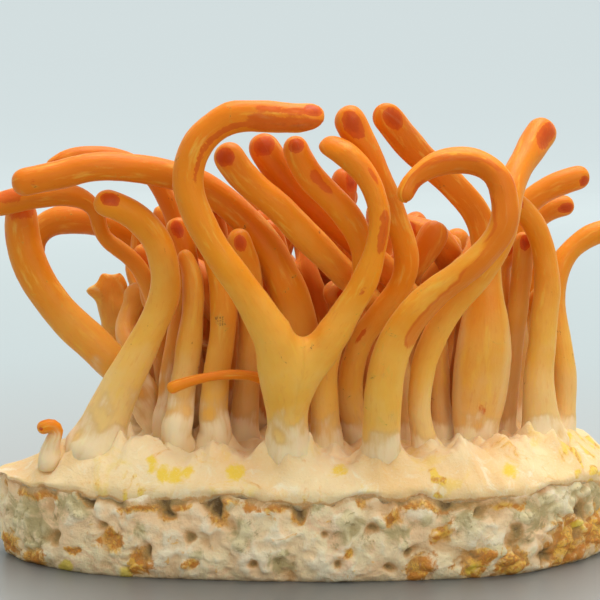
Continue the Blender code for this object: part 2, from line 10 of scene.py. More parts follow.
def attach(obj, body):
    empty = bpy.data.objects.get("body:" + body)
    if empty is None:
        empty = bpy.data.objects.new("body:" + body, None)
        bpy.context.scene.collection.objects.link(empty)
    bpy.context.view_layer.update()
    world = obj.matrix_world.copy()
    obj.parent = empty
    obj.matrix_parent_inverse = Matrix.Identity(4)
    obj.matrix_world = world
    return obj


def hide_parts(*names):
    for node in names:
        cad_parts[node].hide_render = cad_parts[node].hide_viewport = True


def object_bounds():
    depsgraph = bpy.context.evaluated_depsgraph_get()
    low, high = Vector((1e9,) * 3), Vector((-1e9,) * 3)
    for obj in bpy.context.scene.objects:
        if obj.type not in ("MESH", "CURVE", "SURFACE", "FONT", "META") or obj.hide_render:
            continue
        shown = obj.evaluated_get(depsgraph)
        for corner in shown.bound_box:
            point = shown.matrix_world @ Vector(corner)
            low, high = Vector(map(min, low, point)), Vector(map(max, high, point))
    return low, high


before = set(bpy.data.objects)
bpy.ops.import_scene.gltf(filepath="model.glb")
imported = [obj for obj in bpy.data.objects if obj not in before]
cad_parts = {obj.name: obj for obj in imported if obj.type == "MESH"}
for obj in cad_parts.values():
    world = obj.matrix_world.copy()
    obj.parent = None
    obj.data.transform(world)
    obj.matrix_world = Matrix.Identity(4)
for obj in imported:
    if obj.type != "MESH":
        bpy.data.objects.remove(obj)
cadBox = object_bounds()
print("frame loaded with", len(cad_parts), "nodes")

mm = 0.001

# the block's sizes, the same as in the solids
block = {"length": 0.110, "depth": 0.067, "cakeTop": 0.0144, "matTop": 0.0185, "gap": 0.0003,
         "sink": 2.6 * mm, "scale": 0.995}
stemBase = block["matTop"] + block["gap"]

# what a user would change on the stems
stemLook = {
    "sides": 28, "ringEvery": 0.75 * mm, "girth": 1.08, "slim": 0.99, "voxel": 0.42 * mm,
    "lump": 0.24 * mm, "lumpSize": 5.5 * mm, "grain": 0.035 * mm, "grainSize": 1.3 * mm,
    "skirtHeight": 4.6, "skirtThick": 0.50 * mm, "dent": 0.16 * mm, "faceDepth": 0.30 * mm,
    "fanLump": 0.5 * mm, "fillet": 4.0 * mm, "filletRounds": 180,
    "patch": (1.9, 1.3, (0, -1, 0.1))}

# stems told apart in the photo: x, y, height above the mat and radius of the centre line, in millimetres
stemPoints = {
    "forked_stem": [(-2.8, -25, 0, 3.46), (-2.7, -26.5, 5.6, 3.55), (-2.8, -28, 10.4, 3.84),
        (-3.3, -29.5, 15, 4.03), (-4.3, -31, 19.3, 3.36), (-6.6, -32, 23.6, 2.69),
        (-9.2, -33, 27.7, 2.4), (-12.1, -34, 32, 2.26), (-14.9, -34, 36.3, 2.16),
        (-16.9, -34, 40.4, 2.21), (-17.9, -34, 44.3, 2.21), (-17.5, -34, 48.4, 2.21),
        (-15.6, -34, 51.8, 2.21), (-12.7, -34, 54.1, 2.26), (-9, -34, 55, 2.3), (-4.6, -34, 54.7, 2.3),
        (-0.8, -33.5, 54.5, 2.21), (3.1, -33, 54.7, 2.21)],
    "fork_limb": [(-2.6, -28.2, 6.5, 2.3), (-1.3, -29, 12, 3.2), (0.9, -29.4, 16.2, 3.1),
        (3, -29.6, 19.2, 2.8), (4.9, -29.8, 21.6, 2.4), (6.4, -30, 24.2, 2.11),
        (9, -30.5, 28.4, 1.92), (10.8, -31, 33.4, 1.73), (11.6, -31, 38.1, 1.58),
        (11.2, -31, 41.6, 1.63), (9.7, -30.5, 45.3, 1.78), (7.4, -30, 48.3, 1.87),
        (4.9, -29, 50.4, 1.82), (2.6, -28.5, 51.8, 1.78)],
    "s_bend_stem": [(9.4, -14, 0, 2.11), (8.1, -15, 5.5, 1.92), (7.5, -16, 9.4, 2.02),
        (8, -17, 14, 1.92), (9.3, -18, 18.6, 1.82), (12.3, -19, 22.6, 1.82), (15.3, -20, 26.6, 1.82),
        (16.6, -21, 30.8, 1.92), (15.9, -22, 34.5, 1.92), (14.5, -23, 38.1, 1.82),
        (13.2, -24, 41.9, 1.82), (11.4, -25, 45.9, 1.82), (9.2, -26, 49.9, 2.02),
        (7.1, -27, 53.1, 2.3), (5.5, -27.5, 55.8, 2.3)],
    "curled_stem": [(12.4, -25.5, 0, 2.78), (12.2, -27, 4.8, 2.78), (12.3, -28.5, 9.7, 2.78),
        (12.9, -29.5, 15.2, 2.78), (14.2, -30, 19.6, 2.69), (16.6, -31, 23.8, 2.5),
        (20.2, -32, 27.5, 2.3), (24.2, -33, 30.8, 2.11), (27.5, -33, 33.6, 2.02),
        (30, -33, 36.8, 1.97), (30.9, -33, 40.1, 1.92), (30.6, -32.5, 43, 1.92),
        (29.5, -32, 45.7, 1.92), (27.3, -31, 47.4, 1.97), (24, -31, 48, 2.02), (20.6, -31, 47.5, 1.92),
        (18, -31.5, 46.1, 1.73), (16.2, -32, 44.2, 1.54), (15.2, -33, 41.7, 1.39)],
    "reaching_stem": [(20.2, -20, 0, 1.82), (19.2, -20, 4, 1.73), (18.7, -20.5, 8.9, 1.82),
        (19.3, -21, 14.2, 1.87), (20.7, -22, 18.8, 1.92), (23, -23, 23.4, 2.02), (26, -24, 27.4, 2.02),
        (28.9, -25, 31.1, 2.02), (31.2, -25, 35.1, 1.92), (32.3, -24, 39.5, 1.92),
        (33.3, -21, 43.5, 1.92), (35.4, -17, 47.2, 2.11), (37.9, -13, 50.3, 2.4),
        (40.4, -10, 53.3, 2.4)],
    "paddle_stem": [(28.3, -15, 0, 2.88), (28.8, -15, 6, 4.03), (29.4, -15, 12.1, 4.51),
        (29.9, -15, 17.8, 4.13), (30, -14, 23.5, 3.17), (30.2, -13, 28.8, 2.5),
        (30.1, -12, 33.5, 2.21), (28.9, -11, 38.1, 2.11), (26.4, -11, 41.6, 2.11),
        (22.7, -13, 44.9, 2.16), (18.8, -16, 48.1, 2.21), (15.7, -19, 51.5, 2.21),
        (13.6, -22, 53.9, 2.21), (11.8, -24, 55.9, 2.16)],
    "right_inner_stem": [(26, 0, 0, 2.3), (27.3, -1, 8.1, 2.21), (28.4, -2, 16.8, 2.21),
        (28.3, -3, 23.5, 2.21), (26.5, -4, 28.6, 2.3), (23.5, -5, 31.9, 2.4), (19.9, -6, 33.9, 2.4),
        (16.1, -7, 35, 2.3)],
    "right_arch_stem": [(40.2, -14, 0, 3.9), (39.7, -14, 3.6, 3.1), (39.3, -14, 7.8, 2.6),
        (39.2, -13.5, 11, 2.4),
        (39.6, -13, 16.5, 2.3), (40.2, -12.5, 21.5, 2.15), (40.6, -12, 26, 2.05),
        (40.3, -12, 30, 1.95), (39.4, -12, 33.8, 1.85), (37.8, -12.5, 37.2, 1.8),
        (35.6, -13, 39.8, 1.75), (33.2, -14, 41.2, 1.6)],
    "right_sweep_stem": [(43.5, -8, 0, 2.11), (44.6, -7, 5.7, 2.02), (44.3, -6, 12.3, 2.02),
        (43.3, -5, 18.4, 1.92), (42.9, -4, 24, 1.82), (43.8, -3, 28.5, 1.73), (46.1, -2, 31.8, 1.68),
        (50.1, -1, 34.3, 1.73), (55, 0, 35.5, 1.73)],
    "right_upper_stem": [(36.7, 2, 0, 2.11), (37.6, 3, 6.5, 1.92), (38.1, 4, 15.1, 1.92),
        (37.4, 4, 23.9, 1.92), (36.9, 4, 30.9, 1.92), (37.4, 4, 36.2, 1.97), (39.6, 4, 39.6, 1.98),
        (43.2, 4, 42.0, 2.0), (47, 4, 43.5, 2.05), (50, 4, 44.2, 2.0)],
    "right_lower_stem": [(42, 13, 0, 1.92), (43, 14, 5.6, 1.73), (42.7, 14, 13.7, 1.73),
        (41.2, 14, 22.8, 1.73), (40.6, 14, 29.7, 1.78), (41.4, 14, 34.8, 1.82), (44.6, 14, 37.6, 1.85),
        (49, 14, 38.6, 1.8)],
    "upright_stem_a": [(34.2, -8, 0, 1.73), (34.9, -8, 6.7, 1.54), (35.6, -8, 15.1, 1.54),
        (36.4, -7, 23.5, 1.63), (36.9, -7, 29.9, 1.73), (36.9, -7, 35.1, 1.68)],
    "upright_stem_b": [(33.5, -2.5, 0, 1.92), (34.3, -3, 9.2, 1.82), (34.7, -3, 17.8, 1.82),
        (34, -3, 24.7, 1.82), (32.9, -3, 29.5, 1.82), (33.3, -3, 34, 1.73)],
    "left_leaning_stem": [(-34.4, -20, 0, 5.0), (-33.6, -20, 2.4, 4.1), (-32.5, -20, 5.6, 3.45),
        (-30, -20, 10.8, 2.98),
        (-27.3, -20, 16.1, 2.59), (-24.7, -20, 21, 2.35), (-22.9, -20, 25.3, 2.3),
        (-22.1, -20, 29.5, 2.21), (-23.1, -20.3, 34.0, 2.15), (-26.4, -21, 37.9, 2.1),
        (-30.1, -22, 40.9, 2.15), (-33.6, -23, 42.9, 2.1)],
    "long_stem": [(-0.8, -10, 0, 2.69), (-0.3, -11, 7.2, 2.69), (-0.3, -12, 13.2, 2.88),
        (-0.8, -13, 19.2, 2.98), (-2.5, -13.5, 25, 2.98), (-5, -14, 30.6, 2.78),
        (-8.1, -14.5, 35.5, 2.59), (-11.7, -15.5, 39.6, 2.3), (-15.8, -17, 42.9, 2.21),
        (-20.3, -19, 44.9, 2.16), (-24.9, -21, 45.9, 2.16), (-30.4, -23, 46.0, 2.16),
        (-35.8, -24, 45.5, 2.11), (-40.8, -25, 44.8, 2.11), (-46.3, -26, 44.1, 2.2)],
    "wave_stem": [(-23, -4.5, 0, 1.92), (-23.9, -5, 9.6, 1.63), (-25, -6, 18.2, 1.54),
        (-26.2, -7, 24.8, 1.44), (-28.2, -8, 29.3, 1.39), (-30.9, -9, 32.1, 1.34),
        (-33.3, -10, 33.9, 1.25), (-34.4, -11, 36.3, 1.25), (-34.9, -12, 39.2, 1.34),
        (-37.3, -13, 41.4, 1.68), (-41.2, -14.5, 42.3, 1.82), (-45.4, -16, 41.7, 1.87),
        (-49.5, -17, 40.6, 1.82), (-51.9, -17.5, 40, 1.78)],
    "bow_stem": [(-22.9, -10.5, 0, 2.7), (-25.6, -10, 5.7, 2.75), (-28.6, -10, 9.4, 2.8),
        (-32.3, -10, 13.1, 2.85), (-37, -10, 17.6, 2.85), (-41.6, -10.5, 22.4, 2.8),
        (-45.0, -11, 27.6, 2.75), (-47.0, -11, 32.9, 2.7), (-47.4, -11, 37.6, 2.6),
        (-47.6, -11, 41.1, 2.4)],
    "rear_arch_stem": [(-20.5, 8, 0, 2.21), (-21.5, 8, 9.2, 2.02), (-22.6, 8, 18.1, 1.9),
        (-24.4, 8, 25.3, 1.9), (-26.7, 8, 30.2, 2.1), (-30.4, 8, 33.6, 2.35), (-35.1, 8, 35.5, 2.5),
        (-40, 8, 36.2, 2.5), (-44.5, 8, 35.9, 2.4), (-47.3, 8, 34.0, 2.1), (-48.4, 8, 31.2, 1.9),
        (-47.9, 8, 28.6, 1.7)],
    "fan_stem": [(-28, 14, 0, 3.0), (-29.4, 14.8, 5, 3.4), (-31.8, 15.5, 10, 3.9), (-33.6, 16, 15, 4.3),
        (-34.5, 16, 19, 4.2), (-35, 16, 22.5, 3.2)],
    "thin_stem": [(-5.3, -20, 0, 0.96), (-4.5, -21, 6.6, 0.86), (-5.5, -22, 10.8, 0.82),
        (-8, -23, 12.9, 0.77), (-12.7, -24, 13.4, 0.77), (-17.9, -25, 12.6, 0.82),
        (-22.1, -26, 11.3, 1.01)],
    "curled_sprout": [(-41.6, -21, 0, 1.5), (-41.3, -21.2, 1.6, 1.25), (-40.6, -21.4, 3.4, 1.1),
        (-40.4, -21.8, 5.0, 1.0), (-41.4, -22.2, 6.0, 0.95), (-43.4, -22.6, 5.4, 1.0)],
    "slender_arch_stem": [(-17.2, -3, 0, 1.82), (-18.9, -3, 14.4, 1.63), (-20.2, -4, 24.8, 1.54),
        (-21.3, -5, 33.4, 1.54), (-23.2, -7, 40.4, 1.49), (-26, -9, 45.2, 1.44),
        (-30.5, -11, 47.6, 1.44), (-35.3, -13, 48.3, 1.44), (-39.3, -14, 47.4, 1.44),
        (-42.3, -15, 45.3, 1.44)],
    "nub_stem": [(-20.6, -18, 0, 2.3), (-20, -17.5, 9, 2.05), (-19.3, -17, 17, 1.95),
        (-18.4, -17, 24, 1.75), (-18.9, -17.6, 29, 1.4), (-20.9, -18.5, 32.6, 1.25)],
    "cross_stem_a": [(16.6, -13, 0, 1.73), (16.4, -13, 5.9, 1.44), (16.2, -13, 11.7, 1.44),
        (15, -13.5, 17.6, 1.54), (12.4, -14.5, 22.7, 1.82), (8.4, -16, 27.3, 2.02),
        (4.1, -18, 32.2, 2.16), (-0.3, -20, 36.8, 2.21), (-4.3, -22, 40.6, 2.21),
        (-7.9, -23.5, 43.5, 2.26), (-10.9, -25, 46.6, 2.3), (-13.1, -26, 50.2, 2.21)],
    "cross_stem_b": [(23.9, -11, 0, 2.02), (22.7, -11, 7.2, 1.73), (22.5, -11, 13.9, 1.68),
        (21.2, -11.5, 19.8, 1.73), (17.9, -12.5, 24.6, 1.82), (13.7, -13.5, 28.9, 2.02),
        (9.4, -15, 32.8, 2.11), (5.7, -16, 35.6, 2.21), (2.1, -17, 38.6, 2.3),
        (-1.2, -18, 41.9, 2.35), (-4.1, -19, 45.3, 2.4), (-6.3, -20, 48.9, 2.45),
        (-7.8, -20.5, 51.7, 2.3)],
    "cross_stem_c": [(3.6, -19.5, 0, 2.21), (3.4, -20, 6.9, 2.16), (3.2, -20.5, 12.5, 1.92),
        (4.5, -21, 17.9, 1.73), (6.9, -21.5, 22.8, 1.73), (9, -22, 27.1, 1.78),
        (9.8, -22.5, 31.4, 1.87), (8.8, -23, 35.6, 2.02), (6, -24, 39.9, 2.11), (2.9, -24.5, 43, 2.11),
        (0.3, -25, 45.9, 2.06), (-1.3, -26, 49.1, 1.92), (-1.9, -27, 51.5, 1.82)],
    "short_stem": [(-10.4, -13, 0, 2.3), (-9.9, -13.5, 7.7, 2.1), (-9.2, -14.5, 15.3, 2.0),
        (-8.7, -16, 22.9, 1.9), (-9.1, -18, 29, 1.85), (-10.1, -20, 33.3, 1.85),
        (-11.1, -21.5, 36.4, 1.8)],
    "inner_stem_a": [(-22.4, -13.5, 0, 2.3), (-22.6, -13.5, 6.3, 2.1), (-22, -13.5, 12, 2.0),
        (-20.9, -13.5, 18.5, 1.9), (-19.9, -13.5, 24.6, 1.9), (-19.6, -13.5, 30, 1.9),
        (-20.4, -13, 34.1, 1.9), (-21.8, -13, 37.9, 1.85)],
    "inner_stem_b": [(-15.9, -19, 0, 2.5), (-15.7, -19, 6.2, 2.2), (-15, -19, 11.1, 2.1),
        (-14, -19, 15.6, 2.05), (-13.4, -18.5, 20.8, 2.0), (-13.6, -18, 26.4, 1.95),
        (-14.6, -17.5, 31.6, 1.9), (-15.5, -17, 35.7, 1.8)],
    "inner_stem_c": [(-14.9, -9.5, 0, 2.3), (-14.3, -10, 6.9, 2.1), (-13.6, -10.5, 15.3, 2.0),
        (-13.3, -10.5, 22.8, 1.95), (-13.9, -10.5, 30.2, 1.95), (-15.2, -11, 36.4, 1.95),
        (-16, -11.5, 40.6, 1.85)],
    "fan_lobe_left": [(-34.4, 16, 16, 2.4), (-36.8, 15.6, 20.3, 2.2), (-39.2, 15.2, 22.6, 1.8),
        (-41, 15, 23.6, 1.5)],
    "fan_lobe_middle": [(-34.8, 16, 17, 2.6), (-36.4, 16, 22.4, 2.3), (-37.5, 16, 27.2, 1.5)],
    "fan_lobe_right": [(-33.8, 16, 17, 2.6), (-33.6, 16.4, 22.8, 2.3), (-33.8, 16.6, 27.6, 1.5)],
}

# limbs fused with a stem: which stem, and the height below which the two may touch
branches = {"fork_limb": ("forked_stem", 30), "fan_lobe_left": ("fan_stem", 60),
            "fan_lobe_middle": ("fan_stem", 60), "fan_lobe_right": ("fan_stem", 60)}
# stems that are thinner from front to back
flattened = {"paddle_stem": 0.6, "fan_stem": 0.6, "fan_lobe_left": 0.6, "fan_lobe_middle": 0.6,
             "fan_lobe_right": 0.6}
# what a user would change on the rear tufts: millimetres, and shares of the first stem's height
tuftLook = {"height": (41, 48), "second": (0.6, 0.85), "third": (0.75, 0.95), "lean": (0.20, 0.18),
            "spread": 4, "foot": 2.5, "hooks": [0, 3, 6, 9], "radius": (1.6, 2.15), "sway": 2.2,
            "right": 40, "left": -27}
# where each rear tuft grows, x and y in millimetres
tuftRoots = [(-8, -3), (1, -2), (9, -5), (17, -4),
             (-12, 4), (-4, 7.5), (5, 5), (13, 4), (21, 7), (30, 8), (38.5, 8),
             (-19.5, 14), (-13, 11), (-6, 14), (1, 13.5), (10, 13), (18, 15), (26, 15), (34, 16),
             (-24, 21.5), (-16.5, 20.5), (-8, 22), (1, 22), (10, 21), (19, 23), (28, 22), (36, 20),
             (-28, 3), (-17.5, 0.5)]
samples = 40  # points along a stem's centre line


def smoothStep(value, low, high):
    t = np.clip((value - low) / (high - low), 0, 1)
    return t * t * (3 - 2 * t)


def sunk(x):
    # how far the mat's top lies lower towards the left end
    return block["sink"] * smoothStep(-x / mm, 30, 50)


def tuftStems(root, rng):
    # two or three stems from one foot: they lean out of the crowd, sway and hook over at the tip
    x, y = root
    stems = []
    side = rng.uniform(-math.pi, math.pi)
    shares = (1.0, rng.uniform(*tuftLook["second"]), rng.uniform(*tuftLook["third"]))
    three = x < -10 or 3 < x < 25 and y < 14
    for share in shares[:3 if three else 2]:
        height = share * (rng.uniform(*tuftLook["height"]) - 0.012 * x * x - 0.1 * max(0, y))
        leanX = tuftLook["lean"][0] * x + rng.uniform(-4, 4)
        leanY = tuftLook["lean"][1] * y + rng.uniform(-1, 4)
        footX, footY = x, y
        if share < 1:
            leanX += tuftLook["spread"] * math.cos(side)
            leanY += tuftLook["spread"] * math.sin(side)
            footX += tuftLook["foot"] * math.cos(side)
            footY += tuftLook["foot"] * math.sin(side)
            side += 2.2
        hook = rng.choice(tuftLook["hooks"])
        turn = math.atan2(leanY, leanX) + rng.uniform(-1.2, 1.2)
        radius = rng.uniform(*tuftLook["radius"])
        sway = tuftLook["sway"]
        swayX, swayY = rng.uniform(-sway, sway), rng.uniform(-sway, sway)
        points = []
        for t in (0, 0.12, 0.3, 0.5, 0.7, 0.85, 1.0):
            bend = math.sin(math.pi * 1.7 * t)
            over = hook * (max(0, t - 0.55) / 0.45) ** 1.6
            px = footX + leanX * t ** 1.8 + swayX * bend + over * math.cos(turn)
            py = footY + leanY * t ** 1.8 + swayY * bend + over * math.sin(turn)
            pz = height * (t - 0.013 * hook * (max(0, t - 0.6) / 0.4) ** 2)
            px -= 0.85 * (max(0, px - tuftLook["right"]) + min(0, px - tuftLook["left"]))
            points.append((px, py, pz, radius * (1.2 - 0.9 * t + 0.85 * t * t)))
        stems.append(points)
    return stems


def splineThrough(p, each):
    # a smooth curve through the points, with so many steps between each two
    p = np.vstack([2 * p[0] - p[1], p, 2 * p[-1] - p[-2]])
    fine = []
    for a, b, c, d in zip(p, p[1:], p[2:], p[3:]):
        for t in np.linspace(0, 1, each, endpoint=False):
            fine.append(b + 0.5 * ((c - a) * t + (2 * a - 5 * b + 4 * c - d) * t ** 2
                                   + (3 * b - a - 3 * c + d) * t ** 3))
    fine.append(p[-2])
    return np.array(fine)


def evenly(fine, count):
    # the same curve with evenly spaced points, and its length
    steps = np.linalg.norm(np.diff(fine[:, :3], axis=0), axis=1)
    run = np.concatenate([[0], np.cumsum(steps)])
    at = np.linspace(0, run[-1], count)
    return np.stack([np.interp(at, run, fine[:, i]) for i in range(fine.shape[1])], axis=1), run[-1]


def smoothPath(points):
    p = np.array(points, float) * mm
    p[:, 3] *= stemLook["girth"]
    p[:, 2] += stemBase - sunk(p[0, 0] + p[0, 3])
    fine = splineThrough(p, 12)
    for _ in range(20):
        fine[1:-1] = 0.25 * fine[:-2] + 0.5 * fine[1:-1] + 0.25 * fine[2:]
    return evenly(fine, samples)[0]


def pushApart(paths, owners, merged):
    # the same nudging as in the solids, so that every stem lies where its solid does
    names = list(paths)
    clearance = 0.65 * mm
    place = np.vstack([paths[n][:, :3] for n in names])
    thick = np.concatenate([paths[n][:, 3] * (0.5 + 0.5 * flattened.get(n, 1)) for n in names])
    owner = np.repeat([owners[n] for n in names], samples)
    merge = np.repeat([stemBase + merged[n] * mm for n in names], samples)
    hold = np.ones(samples)
    hold[:5] = (0.25, 0.3, 0.45, 0.65, 0.85)
    hold = np.tile(hold, len(names))[:, None]
    for turn in range(60):
        if turn % 12 == 0:
            gaps = (place ** 2).sum(axis=1)
            gaps = np.sqrt(np.maximum(0, gaps[:, None] + gaps[None, :] - 2 * place @ place.T))
            gaps -= thick[:, None] + thick[None, :]
            i, j = np.nonzero(gaps < 3 * mm)
            apart = owner[i] != owner[j]
            high = (place[i, 2] > np.maximum(merge[i], merge[j])) & (i // samples != j // samples)
            i, j = i[apart | high], j[apart | high]
        away = place[i] - place[j]
        reach = np.linalg.norm(away, axis=1) + 1e-9
        short = np.maximum(0, thick[i] + thick[j] + clearance - reach)
        if short.max() < 0.01 * mm:
            break
        away = away * (0.35, 1.0, 0.35)
        away /= np.linalg.norm(away, axis=1, keepdims=True) + 1e-12
        push = np.stack([np.bincount(i, away[:, k] * short ** 2, len(place)) for k in range(3)], axis=1)
        most = np.zeros(len(place))
        np.maximum.at(most, i, short)
        push *= (0.5 * most / (np.linalg.norm(push, axis=1) + 1e-15))[:, None]
        push = push.reshape(len(names), samples, 3)
        soft = push.copy()
        for _ in range(14):
            ends = 0.5 * (soft[:, 0] + soft[:, 1]), 0.5 * (soft[:, -1] + soft[:, -2])
            soft[:, 1:-1] = 0.25 * soft[:, :-2] + 0.5 * soft[:, 1:-1] + 0.25 * soft[:, 2:]
            soft[:, 0], soft[:, -1] = ends
        move = 0.2 * push + 2.2 * soft
        move[:, 0, 2] = 0
        place += move.reshape(-1, 3) * hold
    place = place.reshape(len(names), samples, 3)
    return {n: np.hstack([place[k], paths[n][:, 3:]]) for k, n in enumerate(names)}


def stemPaths():
    # every stem's centre line, and which stems make up each node
    rng = random.Random(23)
    points = dict(stemPoints)
    nodes = {n: [n] for n in stemPoints if n not in branches}
    merged = {n: 0 for n in stemPoints}
    for n, (parent, height) in branches.items():
        nodes[parent].append(n)
        merged[n] = height
    for k, root in enumerate(tuftRoots):
        node = f"rear_tuft_{k + 1:02d}"
        stems = tuftStems(root, rng)
        nodes[node] = [f"{node}_{letter}" for letter in "abc"[:len(stems)]]
        for n, stem in zip(nodes[node], stems):
            points[n] = stem
            merged[n] = 7
    owners = {n: k for k, group in enumerate(nodes.values()) for n in group}
    order = [n for group in nodes.values() for n in group]
    paths = {n: smoothPath(points[n]) for n in order}
    return pushApart(paths, owners, merged), nodes


class Wire:
    # one socket; sums on wires add their Math nodes
    def __init__(self, paint, socket):
        self.paint = paint
        self.socket = socket

    def worked(self, operation, other, swapped=False):
        pair = (other, self) if swapped else (self, other)
        return self.paint.add("ShaderNodeMath", {"operation": operation}, {0: pair[0], 1: pair[1]})

    def __add__(self, other):
        return self.worked("ADD", other)

    def __sub__(self, other):
        return self.worked("SUBTRACT", other)

    def __rsub__(self, other):
        return self.worked("SUBTRACT", other, True)

    def __mul__(self, other):
        return self.worked("MULTIPLY", other)

    __radd__ = __add__
    __rmul__ = __mul__


class Paint:
    # one material and the nodes that feed its shader
    def __init__(self, name, fixed):
        self.material = bpy.data.materials.new(name)
        self.material.use_nodes = True
        self.tree = self.material.node_tree
        self.shader = self.tree.nodes["Principled BSDF"]
        for socket, value in fixed.items():
            self.shader.inputs[socket].default_value = value

    def add(self, kind, settings, inputs, out=0):
        made = self.tree.nodes.new(kind)
        for key, value in settings.items():
            if key == "stops":
                while len(made.color_ramp.elements) < len(value):
                    made.color_ramp.elements.new(0.5)
                for element, (at, colour) in zip(made.color_ramp.elements, value):
                    element.position = at
                    element.color = (*colour, 1)
            else:
                setattr(made, key, value)
        for key, value in inputs.items():
            if isinstance(value, Wire):
                self.tree.links.new(value.socket, made.inputs[key])
            else:
                made.inputs[key].default_value = value
        return Wire(self, made.outputs[out])

    def drive(self, socket, wire):
        self.tree.links.new(wire.socket, self.shader.inputs[socket])

    def read(self, name, out=2):
        return self.add("ShaderNodeAttribute", {"attribute_name": name}, {}, out)

    def readAll(self, names):
        return [self.read(name) for name in names.split()]

    def place(self):
        return self.add("ShaderNodeTexCoord", {}, {}, "Object")

    def cloud(self, scale, detail, rough, warp=0.0, vector=None):
        inputs = {"Scale": scale, "Detail": detail, "Roughness": rough, "Distortion": warp}
        inputs["Vector"] = vector if vector else self.place()
        return self.add("ShaderNodeTexNoise", {}, inputs)

    def step(self, value, low, high):
        return self.add("ShaderNodeMapRange", {"interpolation_type": "SMOOTHSTEP"},
                        {0: value, 1: low, 2: high})

    def ramp(self, value, stops):
        return self.add("ShaderNodeValToRGB", {"stops": stops}, {0: value})

    def mix(self, share, first, second):
        def full(colour):
            return colour if isinstance(colour, Wire) else (*colour, 1)
        return self.add("ShaderNodeMix", {"data_type": "RGBA"},
                        {0: share, 6: full(first), 7: full(second)}, 2)

    def coats(self, colour, look, layers):
        # lays one tint after another over a colour, each through its mask
        for mask, tint in layers:
            colour = self.mix(mask, colour, look[tint])
        self.drive("Base Color", colour)

    def bump(self, height, strength, distance):
        inputs = {"Strength": strength, "Distance": distance, "Height": height}
        self.drive("Normal", self.add("ShaderNodeBump", {}, inputs))


def fleshPaint():
    look = {"cream": (0.86, 0.57, 0.20), "yellow": (0.86, 0.450, 0.068), "orange": (0.81, 0.275, 0.008),
            "deep": (0.78, 0.205, 0.004), "inner": (0.58, 0.080, 0.002), "patch": (0.40, 0.022, 0.001),
            "face": (0.72, 0.165, 0.003), "rim": (0.64, 0.090, 0.001), "fleck": (0.90, 0.55, 0.06),
            "green": (0.60, 0.45, 0.07), "down": (0.90, 0.70, 0.43), "web": (0.66, 0.40, 0.17),
            "nick": (0.24, 0.05, 0.008)}
    paint = Paint("cordycepsFlesh", {"Subsurface Weight": 0.30, "Subsurface Radius": (1.0, 0.28, 0.07),
                                     "Subsurface Scale": 0.0020, "IOR": 1.38, "Specular IOR Level": 0.30,
                                     "Sheen Weight": 0.30, "Sheen Roughness": 0.42,
                                     "Sheen Tint": (1.0, 0.68, 0.26, 1)})
    step = paint.step
    skin = paint.read("skin", 1)
    rise, tone, patch, scar, down, inner, lit, face = paint.readAll(
        "rise tone patch scar down inner lit face")
    streak = paint.cloud(900, 4, 0.6, 0, skin)
    blotch = paint.cloud(130, 3, 0.5)
    crinkle = paint.cloud(420, 4, 0.70, 0.8)
    fine = paint.cloud(2600, 2, 0.6, 0, skin)
    # taking off lit paints pale rim light into the colour, making it paler and yellower
    level = rise + (blotch - 0.5) * 0.42 + (streak - 0.5) * 0.16 + (tone - 0.5) * 0.22 - lit * 0.30
    colour = paint.ramp(level, [(0.06, look["cream"]), (0.30, look["yellow"]), (0.62, look["orange"]),
                                (1.0, look["deep"])])
    brink = step(face, 0.16, 0.28) * (1 - step(face, 0.32, 0.46))
    edge = patch + (streak - 0.5) * 0.30 + (crinkle - 0.5) * 0.45
    mark = scar + (streak - 0.5) * 0.7 + (crinkle - 0.5) * 0.9
    fluff = down + (streak - 0.5) * 1.0 + (fine - 0.5) * 0.4
    paint.coats(colour, look, [
        # painted shade: a deeper red laid on the stems in the middle and back of the bunch
        (inner * 0.85, "inner"),
        (step(streak, 0.54, 0.72) * 0.40, "fleck"),
        (step(crinkle, 0.60, 0.70) * step(tone, 0.45, 0.8) * 0.30, "green"),
        (step(fine, 0.58, 0.72) * 0.16, "rim"),
        (step(crinkle, 0.675, 0.70) * step(fine, 0.45, 0.6) * 0.65, "nick"),
        (step(face + (streak - 0.5) * 0.3, 0.20, 0.45) * 0.80, "face"),
        (brink * step(streak, 0.40, 0.52) * 0.65, "rim"),
        (step(edge, 0.12, 0.20) * 0.95, "rim"),
        (step(edge + (crinkle - 0.5) * 0.8, 0.20, 0.60) * 0.42, "patch"),
        (step(mark, 0.42, 0.62) * 0.80, "rim"),
        (step(mark, 0.9, 1.3) * 0.50, "patch"),
        (step(fluff, 0.05, 0.60) * 0.50, "web"),
        (step(fluff + (blotch - 0.5) * 0.6, 0.35, 1.0) * 0.92, "down")])
    paint.drive("Roughness", 0.44 + (streak - 0.5) * 0.22 + step(fluff, 0.2, 0.9) * 0.3)
    paint.bump(streak * 0.40 + fine * 0.20 + crinkle * 0.40, 0.42, 0.0005)
    return paint.material


